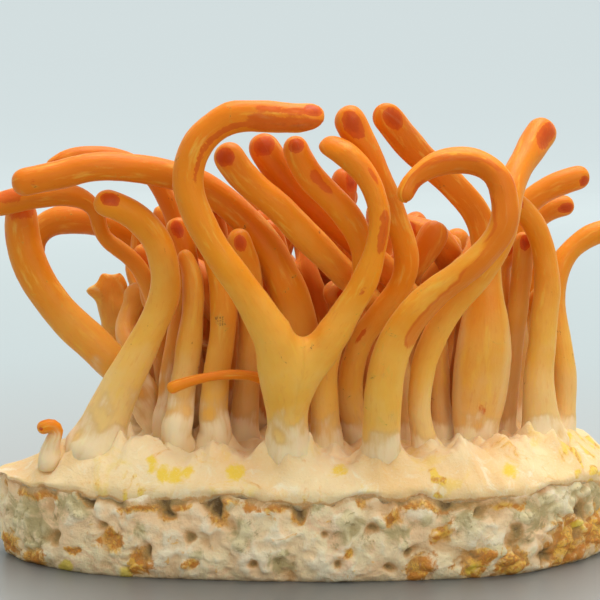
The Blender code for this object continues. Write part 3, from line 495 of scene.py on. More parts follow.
def myceliumPaint():
    look = {"peach": (0.90, 0.59, 0.27), "cream": (0.93, 0.70, 0.39), "yellow": (0.90, 0.60, 0.04),
            "orange": (0.84, 0.38, 0.07), "pit": (0.24, 0.12, 0.04), "pale": (0.95, 0.83, 0.60),
            "rust": (0.66, 0.27, 0.04), "shade": (0.44, 0.20, 0.06), "mould": (0.60, 0.52, 0.32)}
    paint = Paint("myceliumDown", {"Subsurface Weight": 0.18, "Subsurface Radius": (1.0, 0.5, 0.22),
                                   "Subsurface Scale": 0.0016, "Sheen Weight": 0.2,
                                   "Specular IOR Level": 0.2})
    step = paint.step
    border, spot, granule, among = paint.readAll("border spot granule among")
    broad = paint.cloud(75, 3, 0.5)
    patchy = paint.cloud(230, 5, 0.66, 0.9)
    blot = paint.cloud(140, 4, 0.55, 0.6)
    flecks = paint.cloud(600, 4, 0.6, 0.6)
    fuzz = paint.cloud(2300, 3, 0.72)
    colour = paint.mix(step(broad, 0.40, 0.62), look["peach"], look["cream"])
    grain = step(granule + (patchy - 0.5) * 0.9, 0.25, 0.60)
    dot = spot + (patchy - 0.5) * 1.8 + (flecks - 0.5) * 0.8
    brim = border + (patchy - 0.5) * 1.5 + (flecks - 0.5) * 0.8
    paint.coats(colour, look, [
        (step(patchy, 0.54, 0.72) * 0.45, "orange"),
        (step(blot, 0.56, 0.70) * 0.45, "yellow"),
        (step(1 - patchy, 0.54, 0.72) * 0.75, "pale"),
        # painted shade: a brown laid in the hollows between the stem feet
        (step(among + (blot - 0.5) * 0.6, 0.25, 0.95) * 0.85, "shade"),
        (step(patchy, 0.64, 0.70) * step(fuzz, 0.42, 0.55) * 0.6, "rust"),
        (step(dot, 0.22, 0.75) * 0.9, "yellow"),
        (grain * 0.8, "yellow"),
        (grain * step(flecks, 0.46, 0.60) * 0.85, "rust"),
        (step(brim, 0.30, 0.75) * 0.75, "rust"),
        (step(brim, 0.60, 0.95) * step(blot, 0.42, 0.55) * 0.80, "mould"),
        # painted shade: the darkest band under the mat's lip, where its edge tucks in above the block
        (step(brim, 0.85, 1.20) * 0.85, "pit"),
        (step(fuzz, 0.5, 0.72) * 0.22, "pale")])
    paint.drive("Roughness", 0.74 + (fuzz - 0.5) * 0.3 - granule * 0.25)
    paint.bump(fuzz * 0.40 + patchy * 0.60, 0.60, 0.0007)
    return paint.material


def grainPaint():
    look = {"cream": (0.96, 0.76, 0.46), "peach": (0.95, 0.63, 0.35), "recessShade": (0.62, 0.31, 0.10),
            "mould": (0.44, 0.345, 0.145), "ash": (0.86, 0.70, 0.40), "rust": (0.62, 0.20, 0.020),
            "amber": (0.88, 0.42, 0.045), "yellow": (0.84, 0.60, 0.05), "pale": (0.94, 0.82, 0.60),
            "pit": (0.15, 0.085, 0.035), "husk": (0.40, 0.16, 0.03), "gold": (0.93, 0.54, 0.08),
            "olive": (0.31, 0.205, 0.07), "pink": (0.93, 0.50, 0.27)}
    paint = Paint("colonisedGrain", {"Subsurface Weight": 0.10, "Subsurface Radius": (1.0, 0.5, 0.25),
                                     "Subsurface Scale": 0.0012, "Specular IOR Level": 0.3})
    step = paint.step
    pit, husk, relief, rusty, mouldy, sunny = paint.readAll("pit husk relief rusty mouldy sunny")
    broad = paint.cloud(85, 3, 0.55, 0.5)
    patchy = paint.cloud(340, 5, 0.66, 1.1)
    other = paint.cloud(230, 5, 0.6, 1.2)
    flecks = paint.cloud(620, 4, 0.6, 0.6)
    fuzz = paint.cloud(2000, 3, 0.72)
    colour = paint.mix(step(broad, 0.40, 0.62), look["peach"], look["cream"])
    high = relief + (patchy - 0.5) * 0.9
    crest = step(high, 0.55, 0.90)
    green = mouldy * 0.8 + (other - 0.5) * 2.2
    orange = rusty + (patchy - 0.5) * 1.5 + (flecks - 0.5) * 0.9
    burnt = orange + husk * 0.4 + (flecks - 0.5) * 0.9
    # dark: how deep the painted shade in hollows, cracks and under the mat's edge goes, with some noise
    dark = pit + (flecks - 0.5) * 0.5 + (patchy - 0.5) * 0.9
    paint.coats(colour, look, [
        # painted shade in low places and painted highlight on crests, both following the relief
        (step(1 - high, 0.55, 1.0) * 0.55, "recessShade"),
        (crest * 0.70, "pale"),
        (step(broad + (other - 0.5), 0.58, 0.78) * 0.50, "pink"),
        (step(patchy, 0.57, 0.68) * step(other, 0.42, 0.6) * 0.7, "amber"),
        (step(green, 0.30, 0.85) * 0.80, "mould"),
        # ash on crests: partly the mould's own pale colour, partly a painted highlight on the raised grain
        (step(green, 0.30, 0.70) * crest * 0.85, "ash"),
        (step(flecks, 0.56, 0.66) * step(green, 0.10, 0.6) * 0.60, "olive"),
        (step(orange, 0.45, 0.85) * 0.85, "amber"),
        (step(burnt, 0.80, 1.15) * 0.8, "rust"),
        (step(orange, 0.50, 0.75) * step(1 - flecks, 0.50, 0.60) * 0.65, "gold"),
        (step(orange - husk * 0.5, 0.50, 0.65) * step(fuzz, 0.5, 0.6) * 0.6, "husk"),
        (step(sunny + (other - 0.5) * 1.5, 0.45, 0.85) * 0.8, "yellow"),
        # painted shade: recess, olive and pit colours laid ever darker into hollows, cracks and under the
        # mat's edge
        (step(dark, 0.25, 0.70) * 0.70, "recessShade"),
        (step(dark, 0.55, 1.0) * 0.75, "olive"),
        (step(dark, 0.95, 1.35) * 0.8, "pit"),
        (step(fuzz, 0.55, 0.75) * 0.20, "pale")])
    paint.drive("Roughness", 0.74 + (fuzz - 0.5) * 0.3 - step(orange, 0.5, 0.8) * 0.2)
    paint.bump(fuzz * 0.4 + patchy * 0.6, 0.70, 0.0009)
    return paint.material


def framesAlong(path):
    # directions across the path that don't twist along it
    heading = np.gradient(path[:, :3], axis=0)
    heading /= np.linalg.norm(heading, axis=1, keepdims=True)
    first = np.array((0.0, -1.0, 0.0))
    across = [first - heading[0] * first.dot(heading[0])]
    across[0] /= np.linalg.norm(across[0])
    for k in range(1, len(path)):
        side = across[-1] - heading[k] * across[-1].dot(heading[k])
        across.append(side / np.linalg.norm(side))
    across = np.array(across)
    return heading, across, np.cross(heading, across)


def tubeParts(path, name, rooted):
    # rings of points round the path, closer together over its blunt rounded tip
    fine, length = evenly(splineThrough(path, 6), 400)
    run = np.linspace(0, length, 400)
    dome = 1.15 * fine[-1, 3]
    turns = np.linspace(0, math.pi / 2, 10)[1:]
    body = np.linspace(0, length - dome, max(14, int(length / stemLook["ringEvery"])))
    at = np.concatenate([body, length - dome * (1 - np.sin(turns) ** 0.87)])
    close = np.concatenate([np.ones(len(body)), np.cos(turns) ** 0.87])
    fine = np.stack([np.interp(at, run, fine[:, i]) for i in range(4)], axis=1)
    across, other = framesAlong(fine)[1:]
    radius = np.maximum(fine[:, 3] * stemLook["slim"] * close, 0.02 * mm)
    angles = np.linspace(0, 2 * math.pi, stemLook["sides"], endpoint=False)[None, :, None]
    ring = across[:, None, :] * np.cos(angles) + other[:, None, :] * np.sin(angles)
    points = fine[:, None, :3] + ring * radius[:, None, None]
    flat = flattened.get(name, 1)
    points[:, :, 1] = fine[:, None, 1] + (points[:, :, 1] - fine[:, None, 1]) * flat
    if rooted:
        points[0, :, 2] = np.minimum(points[0, :, 2], path[0, 2] - 0.9 * mm)
    return points


def meshFromRings(name, points):
    rings, sides = points.shape[:2]
    faces = []
    for r in range(rings - 1):
        for k in range(sides):
            a, b = r * sides + k, r * sides + (k + 1) % sides
            faces.append((a, b, b + sides, a + sides))
    faces.append(tuple(reversed(range(sides))))
    faces.append(tuple((rings - 1) * sides + k for k in range(sides)))
    mesh = bpy.data.meshes.new(name)
    mesh.from_pydata(points.reshape(-1, 3).tolist(), [], faces)
    return mesh


def newObject(name, mesh):
    made = bpy.data.objects.new(name, mesh)
    bpy.context.scene.collection.objects.link(made)
    return made


def pointsOf(mesh, kind="co"):
    flat = np.empty(len(mesh.vertices) * 3)
    mesh.vertices.foreach_get(kind, flat)
    return flat.reshape(-1, 3)


def setCoords(mesh, coords):
    mesh.vertices.foreach_set("co", coords.ravel())
    mesh.update()


def writeField(mesh, name, values, kind="FLOAT"):
    field = mesh.attributes.new(name, kind, "POINT")
    flat = np.asarray(values, float).ravel()
    field.data.foreach_set("value" if kind == "FLOAT" else "vector", flat)


def noiseAt(points, size, shift=0.0):
    return np.array([noise.noise(Vector((p[0] / size + shift, p[1] / size, p[2] / size))) for p in points])


def joinedAndRemeshed(name, meshes, group, paths):
    # several tubes melted into one skin, rounded off where a branch leaves its stem
    bm = bmesh.new()
    for mesh in meshes:
        bm.from_mesh(mesh)
    joined = bpy.data.meshes.new(name)
    bm.to_mesh(joined)
    bm.free()
    made = newObject(name, joined)
    melt = made.modifiers.new("melt", "REMESH")
    melt.mode = "VOXEL"
    melt.voxel_size = stemLook["voxel"]
    relax = made.modifiers.new("relax", "SMOOTH")
    relax.factor = 0.5
    relax.iterations = 4
    bpy.context.view_layer.update()
    mesh = bpy.data.meshes.new_from_object(made.evaluated_get(bpy.context.evaluated_depsgraph_get()))
    made.modifiers.clear()
    made.data = mesh
    mesh.name = name
    coords = pointsOf(mesh)
    apart = []
    for stem in group:
        fine = evenly(splineThrough(paths[stem], 3), 90)[0]
        gaps = np.sqrt(((coords[:, None, :] - fine[None, :, :3]) ** 2).sum(axis=2)) - fine[None, :, 3]
        apart.append(gaps.min(axis=1))
    # only points that are close to a second stem are smoothed
    share = 1 - smoothStep(np.sort(np.array(apart), axis=0)[1], 0.2 * mm, stemLook["fillet"])
    edges = np.empty(len(mesh.edges) * 2, int)
    mesh.edges.foreach_get("vertices", edges)
    a, b = edges[::2], edges[1::2]
    count = len(coords)
    degree = np.bincount(edges, minlength=count)[:, None]
    for _ in range(stemLook["filletRounds"]):
        total = np.stack([np.bincount(a, coords[b, k], count) + np.bincount(b, coords[a, k], count)
                          for k in range(3)], axis=1)
        coords += (0.6 * share)[:, None] * (total / degree - coords)
    setCoords(mesh, coords)
    return made


# long marks on some stems: start and end as shares of its length, the side they face, half their width
scars = {
    "forked_stem": [(0.60, 0.87, (-5.6, 58, 1.5), 0.50), (0.84, 1.0, (0, -1, -0.55), 1.25),
                    (0.86, 0.99, (0, -0.8, 0.5), 0.55), (0.27, 0.29, (-0.5, -1, 0), 0.4)],
    "fork_limb": [(0.58, 0.72, (0.45, -1, 0), 0.75), (0.44, 0.50, (0.1, -1, 0), 0.35),
                  (0.78, 0.84, (0.5, -0.8, 0.3), 0.4)],
    "curled_stem": [(0.38, 0.50, (0.75, -0.8, -0.6), 0.40), (0.93, 0.99, (24.4, 57.5, 0.8), 0.8)],
    "cross_stem_c": [(0.80, 0.91, (0.3, -1, 0.2), 0.75)],
    "cross_stem_b": [(0.58, 0.66, (0, -1, 0.3), 0.45), (0.80, 0.84, (0.4, -1, 0.3), 0.5)],
    "paddle_stem": [(0.08, 0.12, (0.2, -1, 0), 0.8), (0.30, 0.34, (-0.3, -1, 0), 0.4)],
    "bow_stem": [(0.93, 1.0, (0.1, -1, 0), 2.4), (0.72, 0.90, (-1, -0.5, 0), 0.5)],
    "long_stem": [(0.95, 0.975, (0.1, -1, -0.1), 0.9), (0.985, 1.0, (0, -1, -0.3), 0.6),
                  (0.90, 0.93, (0, -1, -0.9), 0.6)],
    "wave_stem": [(0.90, 0.97, (0, -1, 0.6), 1.2)],
    "reaching_stem": [(0.80, 0.88, (-0.4, -1, -0.6), 1.2)],
    "s_bend_stem": [(0.30, 0.36, (-0.3, -1, 0), 0.4)]}
# flatter and deeper coloured faces along a stem, given the same way
faces = {"curled_stem": [(0.70, 1.04, (24.4, 57.5, 0.8), 1.4), (0.63, 0.75, (0.05, -1, 0.05), 1.3),
                         (0.56, 0.68, (0.3, -1, -0.15), 1.25), (0.49, 0.61, (0.55, -0.9, -0.35), 1.2),
                         (0.30, 0.54, (0.75, -0.75, -0.5), 1.15)]}
# dark tip patches that aren't the usual one: half length, half width and the side they face
patches = {
    "s_bend_stem": (2.5, 1.45, (0, -1, 0.15)), "paddle_stem": (2.5, 1.7, (-0.1, -1, 0.5)),
    "reaching_stem": (3.3, 1.35, (0.25, -1, 0)), "left_leaning_stem": (1.9, 1.3, (0.1, -1, 0.5)),
    "cross_stem_a": (1.5, 1.5, (-0.4, -1, 0.35)), "cross_stem_b": (1.6, 1.9, (0, -1, 0.3)),
    "cross_stem_c": (1.4, 1.8, (0, -1, 0.7)), "forked_stem": (1.6, 1.3, (0.1, -0.7, 0.6)),
    "right_upper_stem": (1.3, 1.1, (0.8, -1, -0.3)), "right_lower_stem": (1.9, 1.2, (0.2, -1, -0.2)),
    "curled_sprout": (0.8, 0.7, (0, -1, 0))}
# stems with no such patch
plainTips = ("thin_stem", "fan_stem", "fan_lobe_left", "fan_lobe_middle", "fan_lobe_right", "nub_stem",
             "curled_stem", "fork_limb", "bow_stem", "long_stem", "wave_stem")


def tipPatch(name, coords, tip, heading, rng):
    # the dark oval patch beside a stem's tip: 1 in its middle, fading to 0 at its edge
    size = tip[3] / (2.3 * mm)
    long, wide, facing = patches.get(name, stemLook["patch"])
    strength = 0.0 if name in plainTips else 1.0
    if name.startswith("rear_tuft"):
        facing = (tip[0] / mm * 0.6 + rng.uniform(-10, 10), tip[1] / mm, 2)
        strength = rng.choice((0.0, 0.75, 1.0))
    facing = np.array(facing, float)
    facing -= heading * facing.dot(heading) * 0.75
    facing /= np.linalg.norm(facing) + 1e-9
    centre = tip[:3] - heading * (long * size * mm + 0.1 * tip[3]) + facing * tip[3] * 0.85
    away = coords - centre
    along = (away * heading).sum(axis=1)
    beside = np.linalg.norm(away - along[:, None] * heading, axis=1)
    spot = 1 - np.sqrt((along / (long * size * mm)) ** 2 + (beside / (wide * size * mm)) ** 2)
    return np.clip(spot + 0.12, 0, 1) * strength


def markField(marks, offset, share, middle):
    # how deep each point lies in a stem's long marks, from 0 to 1
    field = np.zeros(len(offset))
    for start, end, side, half in marks:
        if abs(side[1]) > 2:
            # a mark that faces a point, given by x, height and how much it leans to the front
            toward = np.array((side[0] * mm, 0, side[1] * mm)) - middle[:, :3] * (1, 0, 1)
            side = toward / np.linalg.norm(toward, axis=1, keepdims=True) - np.array((0, side[2], 0))
            side /= np.linalg.norm(side, axis=1, keepdims=True)
        else:
            side = np.array(side) / np.linalg.norm(side)
        band = smoothStep(share, start - 0.03, start + 0.03)
        band *= 1 - smoothStep(share, end - 0.03, end + 0.02)
        turned = (offset * side).sum(axis=1) / (np.linalg.norm(offset, axis=1) + 1e-9)
        off = middle[:, 3] * np.sqrt(np.clip(1 - turned ** 2, 0, 1)) * np.where(turned > 0, 1, 5)
        field = np.maximum(field, band * (1 - smoothStep(off, 0, half * mm * 2.2)))
    return field


def describeSkin(made, group, paths, rng):
    # writes what the flesh material reads: height, place round the stem, marks, painted shade in the
    # middle of the bunch, painted pale rim light, down at the foot
    mesh = made.data
    coords = pointsOf(mesh)
    best = np.full(len(coords), 1e9)
    values = {k: np.zeros(len(coords)) for k in ("patch", "scar", "face", "tone", "inner")}
    skin = np.zeros((len(coords), 3))
    for name in group:
        tone = rng.random()
        fine, length = evenly(splineThrough(paths[name], 5), 160)
        heading, across, other = framesAlong(fine)
        run = np.linspace(0, length, len(fine))
        gaps = ((coords[:, None, :] - fine[None, :, :3]) ** 2).sum(axis=2)
        near = gaps.argmin(axis=1)
        middle = fine[near]
        apart = np.sqrt(gaps[np.arange(len(coords)), near]) - middle[:, 3]
        mine = apart < best
        best = np.where(mine, apart, best)
        offset = coords - middle[:, :3]
        u, v = (offset * across[near]).sum(axis=1), (offset * other[near]).sum(axis=1)
        angle = np.arctan2(v, u)
        at = run[near] + (offset * heading[near]).sum(axis=1)
        tall = np.stack([np.cos(angle) * 2 * mm, np.sin(angle) * 2 * mm, at * 0.16 + tone], axis=1)
        skin[mine] = tall[mine]
        # painted shade: strongest on stems in the middle and towards the back of the bunch
        crowd = math.exp(-((fine[:, 0].mean() / 0.036) ** 2))
        crowd *= smoothStep(fine[:, 1].mean(), -0.024, -0.006)
        found = {"patch": tipPatch(name, coords, fine[-1], heading[-1], rng),
                 "scar": markField(scars.get(name, []), offset, at / length, middle),
                 "face": markField(faces.get(name, []), offset, at / length, middle),
                 "tone": tone, "inner": crowd * 0.8}
        for key, field in found.items():
            values[key] = np.where(mine, field, values[key])
    foot = paths[group[0]][0]
    above = (coords[:, 2] - foot[2]) / mm
    ragged = noiseAt(coords, 2.6 * mm)
    left = math.exp(-((foot[0] / mm + 22) / 9) ** 2)
    edge = stemLook["skirtHeight"] * (1 + 0.9 * ragged) * (0.7 + 0.3 * foot[3] / (2.3 * mm))
    edge = edge * (1 + 1.1 * left)
    down = 1 - smoothStep(above, edge * 0.25, edge * 1.5)
    tall = (paths[group[0]][:, 2].max() - foot[2]) / mm
    # lit: painted pale rim light along the edges of the flattened stems and over the curled stem's upper
    # part away from its face
    lit = smoothStep(np.abs(skin[:, 1]), 1.66 * mm, 1.94 * mm) * (flattened.get(group[0], 1) < 1)
    edged = smoothStep(above, 18, 34) * (group[0] in faces)
    values["rise"] = np.clip(above / (52 if tall > 22 else 1.2 * tall), 0, 1.2)
    values["lit"] = lit + 0.7 * (1 - smoothStep(values["face"], 0.1, 0.4)) * edged
    values["down"] = down
    for key, field in values.items():
        writeField(mesh, key, field)
    writeField(mesh, "skin", skin, "FLOAT_VECTOR")
    return above, values


def keptInside(coords, axes=3):
    # nothing stands past the box of the solids
    low, high = np.array(cadBox[0]) + 0.02 * mm, np.array(cadBox[1]) - 0.02 * mm
    coords[:, :axes] = np.clip(coords[:, :axes], low[:axes], high[:axes])
    return coords


def finishPiece(made, paint, node):
    made.data.shade_smooth()
    made.data.materials.append(paint)
    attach(made, "root")
    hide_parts(node)


def dressStem(node, group, paths, paint, rng):
    meshes = [meshFromRings(name, tubeParts(paths[name], name, name not in branches)) for name in group]
    if len(group) > 1:
        made = joinedAndRemeshed(node + "_flesh", meshes, group, paths)
    else:
        made = newObject(node + "_flesh", meshes[0])
    mesh = made.data
    above, values = describeSkin(made, group, paths, rng)
    coords = pointsOf(mesh)
    shift = rng.uniform(0, 50)
    swell = noiseAt(coords, stemLook["lumpSize"], shift) * stemLook["lump"]
    swell += noiseAt(coords, stemLook["grainSize"], shift + 9) * stemLook["grain"]
    swell -= smoothStep(values["patch"], 0.05, 0.35) * stemLook["dent"] * 1.3
    swell -= smoothStep(values["face"], 0.3, 0.7) * stemLook["faceDepth"]
    swell -= values["scar"] * (0.5 + noiseAt(coords, 0.9 * mm, shift)) * stemLook["dent"]
    if node == "fan_stem":
        swell += noiseAt(coords, 3.2 * mm, 4.0) * stemLook["fanLump"]
    fold = 0.6 + 0.9 * noiseAt(coords * (1, 1, 0.5), 1.6 * mm, 9.0)
    flare = smoothStep(values["down"], 0.2, 1.0) * 0.35 + np.exp(-np.maximum(0, above) / 1.7) * 1.5
    swell += np.clip(fold, 0.1, 1.6) * flare * stemLook["skirtThick"]
    setCoords(mesh, keptInside(coords + pointsOf(mesh, "normal") * swell[:, None]))
    finishPiece(made, paint, node)


# what a user would change on the block: sizes, and marks by x, height and radius in millimetres, given
# for its front; its back has the same ones the other way round
cakeLook = {
    "round": 1050, "up": 50, "inset": 0.45 * mm, "grain": 0.70 * mm, "crack": 0.45 * mm,
    "lump": 0.60 * mm, "ridge": 0.45 * mm, "ridgeSize": 6.5 * mm, "hollow": 0.95 * mm,
    "crumb": 0.60 * mm, "small": 0.34 * mm, "fine": 0.14 * mm,
    "rusty": [(43, 4, 6.5), (49, 5, 6), (27, 2.5, 4.5), (18, 2.0, 3.2), (14, 11, 2.0), (-1, 11.0, 2.2),
              (-13.5, 10.9, 2.4), (-22, 10.4, 2.0), (-31, 6, 3.0), (22, 7.5, 2.6), (-27, 3, 3.2),
              (-45, 1.0, 3), (-49, 3, 3), (33, 2, 4), (-35, 13, 2.0), (7, 5, 1.4), (-38, 4, 1.4),
              (-18, 3, 1.6)],
    "mouldy": [(-44, 8, 6), (-21, 13, 2.6), (-9.5, 8, 3.0), (-13.5, 13.5, 2.2), (25, 12, 5), (38, 10, 7),
               (47, 11, 6), (35, 6, 3.5), (-37, 12, 4), (8, 8.5, 3), (14, 8, 2.4), (1, 13.5, 2.0),
               (-27, 8, 2.2), (-4, 3, 2.0)],
    "sunny": [(-29, 0.8, 2.0), (-38.5, 0.6, 1.4), (27, 1.8, 1.6), (45, 7, 1.6)],
    "hollows": [(-13.8, 11.9, 1.4), (-15.8, 12.8, 1.1), (-0.8, 12.3, 1.6), (-21.6, 11.2, 1.6),
                (10.7, 8.9, 1.0), (16.9, 5.1, 1.1), (-29.5, 13.0, 1.3), (-34.5, 12.8, 1.2),
                (34, 7.5, 1.4), (22, 12.2, 1.5), (5, 3.0, 0.9), (-8.5, 3.0, 0.9), (-41, 5.5, 1.2),
                (45, 9, 1.5), (-25.0, 4.4, 1.0), (28, 11.5, 1.2), (39, 3, 1.5), (2.8, 7.4, 0.8),
                (-18.2, 7.4, 0.9), (13.6, 2.4, 0.9), (-33, 8.8, 0.9)],
    "crumbs": [(-21.6, 12.9, 1.4), (-12.4, 13.6, 1.3), (-9.7, 9.0, 2.0), (-10.4, 6.6, 1.2),
               (1.8, 12.8, 1.3), (11.9, 9.6, 0.9), (16, 6.2, 0.9), (-36, 10, 1.8), (-27, 12, 1.3),
               (19, 10.8, 1.6), (35, 9.4, 1.8), (30, 4.5, 1.6), (-45, 4, 1.8), (41, 8, 2.0),
               (-3.5, 5, 1.4), (6, 10.5, 1.3), (-17, 4.6, 1.3)]}


def seamShift(points):
    # how far the mat's lower edge wanders up and down round the block
    flat = points * (1, 1, 0)
    return (noiseAt(flat, 9 * mm, 51.0) * 1.5 + noiseAt(flat, 3.4 * mm, 57.0) * 1.0) * mm


def edgeAt(angle, inset):
    # the outline of block and mat: a wavy superellipse, narrower at the back and most of all at its left
    c, s = np.cos(angle), np.sin(angle)
    wave = 1 + 0.010 * np.sin(5 * angle + 1.0) + 0.006 * np.sin(11 * angle)
    x = (0.5 * block["length"] - inset) * np.sign(c) * np.abs(c) ** 0.8
    y = (0.5 * block["depth"] - inset) * np.sign(s) * np.abs(s) ** 0.8
    left, right = smoothStep(y / mm, -14, 6), smoothStep(y / mm, -22, 18)
    narrow = 1 - np.where(x < 0, 0.28 * left, 0.07 * right)
    return x * wave * narrow * block["scale"], y * wave * block["scale"]


def ringAt(angles, inset, height):
    x, y = edgeAt(angles, inset)
    return np.stack([x, y, np.full(len(x), height)], axis=1)


def evenAngles(count):
    # angles that space the outline's points evenly
    fine = np.linspace(0, 2 * math.pi, 20001)
    x, y = edgeAt(fine, 0)
    run = np.concatenate([[0], np.cumsum(np.hypot(np.diff(x), np.diff(y)))])
    return np.interp(np.linspace(0, run[-1], count, endpoint=False), run, fine)


def grainField(points, size, shift):
    # distance to the nearest and second grain centre, and a number for the nearest
    near, second, which = [], [], []
    for p in points:
        where = Vector((p[0] / size + shift, p[1] / size, p[2] / (size * 0.8)))
        gaps, centres = noise.voronoi(where)
        near.append(gaps[0])
        second.append(gaps[1])
        which.append(noise.cell(centres[0] * 7.3))
    return np.array(near), np.array(second), np.array(which)


def nearSpots(across, up, spots):
    # 1 at the middle of a spot, fading to 0 outside it
    field = np.zeros(len(across))
    for x, y, radius in spots:
        gap = np.hypot(across / mm - x, up / mm - y) / radius
        field = np.maximum(field, np.exp(-gap ** 2 * 1.1))
    return field


def ridgesAt(points, size, shift=0.0):
    # crumpled ridges: about 1 on a crest and 0 in a hollow
    made = np.array([noise.ridged_multi_fractal(Vector((p[0] / size + shift, p[1] / size, p[2] / size)),
                                                1.0, 2.1, 3, 1.0, 2.0) for p in points])
    low, high = np.percentile(made, (3, 97))
    return np.clip((made - low) / (high - low), 0, 1)


def besideSpots(coords, spots):
    # the same for spots on the block's side
    ahead = np.where(coords[:, 1] < 0, 1.0, -1.0)
    return nearSpots(coords[:, 0] * ahead, coords[:, 2], spots)


def outwardFrom(coords):
    outward = coords.copy()
    outward[:, 2] = 0
    return outward / (np.linalg.norm(outward, axis=1, keepdims=True) + 1e-9)


def dressCake(paint):
    top = block["cakeTop"] / mm
    # height and inset of the block's side, from its rounded foot up to the mat
    profile = [(0.0, 1.5), (0.5, 1.0), (1.2, 0.55), (2.4, 0.2), (4.0, 0.0), (11.0, 0.0), (13.0, 0.3),
               (top, 1.1)]
    heights = np.linspace(0, top, cakeLook["up"])
    insets = np.interp(heights, *zip(*profile))
    angles = evenAngles(cakeLook["round"])
    rings = [ringAt(angles, inset * mm + cakeLook["inset"], h * mm) for h, inset in zip(heights, insets)]
    rings.append(rings[-1] * (0.9, 0.9, 1))
    made = newObject("substrate_cake_grain", meshFromRings("substrate_cake_grain", np.array(rings)))
    mesh = made.data
    coords = pointsOf(mesh)
    level = coords[:, 2] / mm
    outward = outwardFrom(coords)
    warp = np.stack([noiseAt(coords, 3 * mm, s) for s in (0.0, 11.0, 23.0)], axis=1) * 1.3 * mm
    bent = coords + warp * 0.8
    rusty, mouldy, sunny, hollow, crumb = (
        besideSpots(bent, cakeLook[key]) for key in ("rusty", "mouldy", "sunny", "hollows", "crumbs"))
    near, second, which = grainField(coords + warp, 3.2 * mm, 2.0)
    crack = 1 - smoothStep(second - near, 0.02, 0.30)
    broken = smoothStep(rusty, 0.25, 0.8) + smoothStep(noiseAt(coords, 6 * mm, 31.0), 0.15, 0.45) * 0.6
    broken = np.clip(broken, 0, 1)
    ridge = ridgesAt(coords + warp, cakeLook["ridgeSize"], 3.0)
    sags = smoothStep(noiseAt(bent, 3.6 * mm, 71.0), 0.15, 0.60)
    swells = smoothStep(noiseAt(bent, 2.8 * mm, 83.0), 0.10, 0.50)
    move = noiseAt(coords, 8 * mm, 5.0) * cakeLook["lump"] + (ridge - 0.6) * cakeLook["ridge"]
    move += noiseAt(coords, 1.7 * mm, 44.0) * cakeLook["small"]
    move += broken * ((0.5 - near) * cakeLook["grain"] - crack * cakeLook["crack"])
    move += noiseAt(coords, 0.8 * mm, 7.0) * cakeLook["fine"] + (crumb + swells * 0.5) * cakeLook["crumb"]
    move -= (hollow + sags * 0.5) * cakeLook["hollow"]
    move = np.where(level < top - 0.05, move, np.minimum(move, 0))
    foot = smoothStep(coords[:, 2], 0.0, 0.9 * mm)
    coords += outward * (move * (0.45 + 0.55 * foot))[:, None]
    lift = foot * noiseAt(coords, 2.0 * mm, 3.0) * 0.35 * mm
    coords[:, 2] = np.clip(coords[:, 2] + lift, 0, block["cakeTop"])
    under = top - 1.4 + seamShift(coords) / mm - level  # depth below the mat's ragged edge
    patchy = smoothStep(noiseAt(coords, 5 * mm, 95.0), -0.15, 0.25)
    shade = np.exp(-(np.maximum(under, 0) / 0.8) ** 2) * (0.35 + 0.65 * patchy)
    fields = {"relief": np.clip(0.5 + (move + 0.1 * mm) / (1.5 * mm), 0, 1),
              # pit: painted shade in the hollows, dents and cracks and just under the mat's edge
              "pit": np.clip(hollow * 1.15 + sags * 0.30 + crack * broken * 0.45 + shade * 0.75, 0, 1.25),
              "husk": which % 1.0, "mouldy": np.maximum(mouldy, crumb * 1.2), "sunny": sunny,
              "rusty": np.maximum(rusty, 0.85 * np.exp(-((under - 0.9) / 1.2) ** 2) * patchy)}
    for key, field in fields.items():
        writeField(mesh, key, field)
    setCoords(mesh, keptInside(coords, 2))
    finishPiece(made, paint, "substrate_cake")


# what a user would change on the mat: sizes, spots by x, y and radius, and mounds with their height too
matLook = {
    "round": 800, "rings": 84, "collar": 1.9 * mm, "spread": 2.3 * mm, "lump": 0.60 * mm,
    "small": 0.42 * mm, "down": 0.16 * mm, "bead": 2.0 * mm, "brim": 6.6 * mm,
    "yellow": [(-35, -21.5, 1.0), (-32.5, -21.8, 1.2), (-30, -22, 1.1), (-24.4, -28.4, 1.0),
               (-22.6, -29.2, 1.2), (-20.6, -29.5, 1.3), (-18.6, -29, 1.0), (-11, -29.5, 1.7),
               (5.5, -29, 1.5), (33, -27, 1.4), (12, 29, 3), (-24, 24, 2.2)],
    "granules": [(46, -18, 5.0), (48, -10, 3.6), (-48, -15, 2.4), (-27.5, -30, 1.8), (21, -31, 2.4),
                 (-20, 26, 3.0)],
    "mounds": [(-40, -12, 3.6, 3.0), (-26.3, -24.5, 3.4, 5.2), (-14.6, -25, 3.0, 3.6),
               (25, -25.5, 3.4, 4.4), (34, -20, 3.6, 4.4), (-2.5, 28.5, 2.0, 2.6)]}


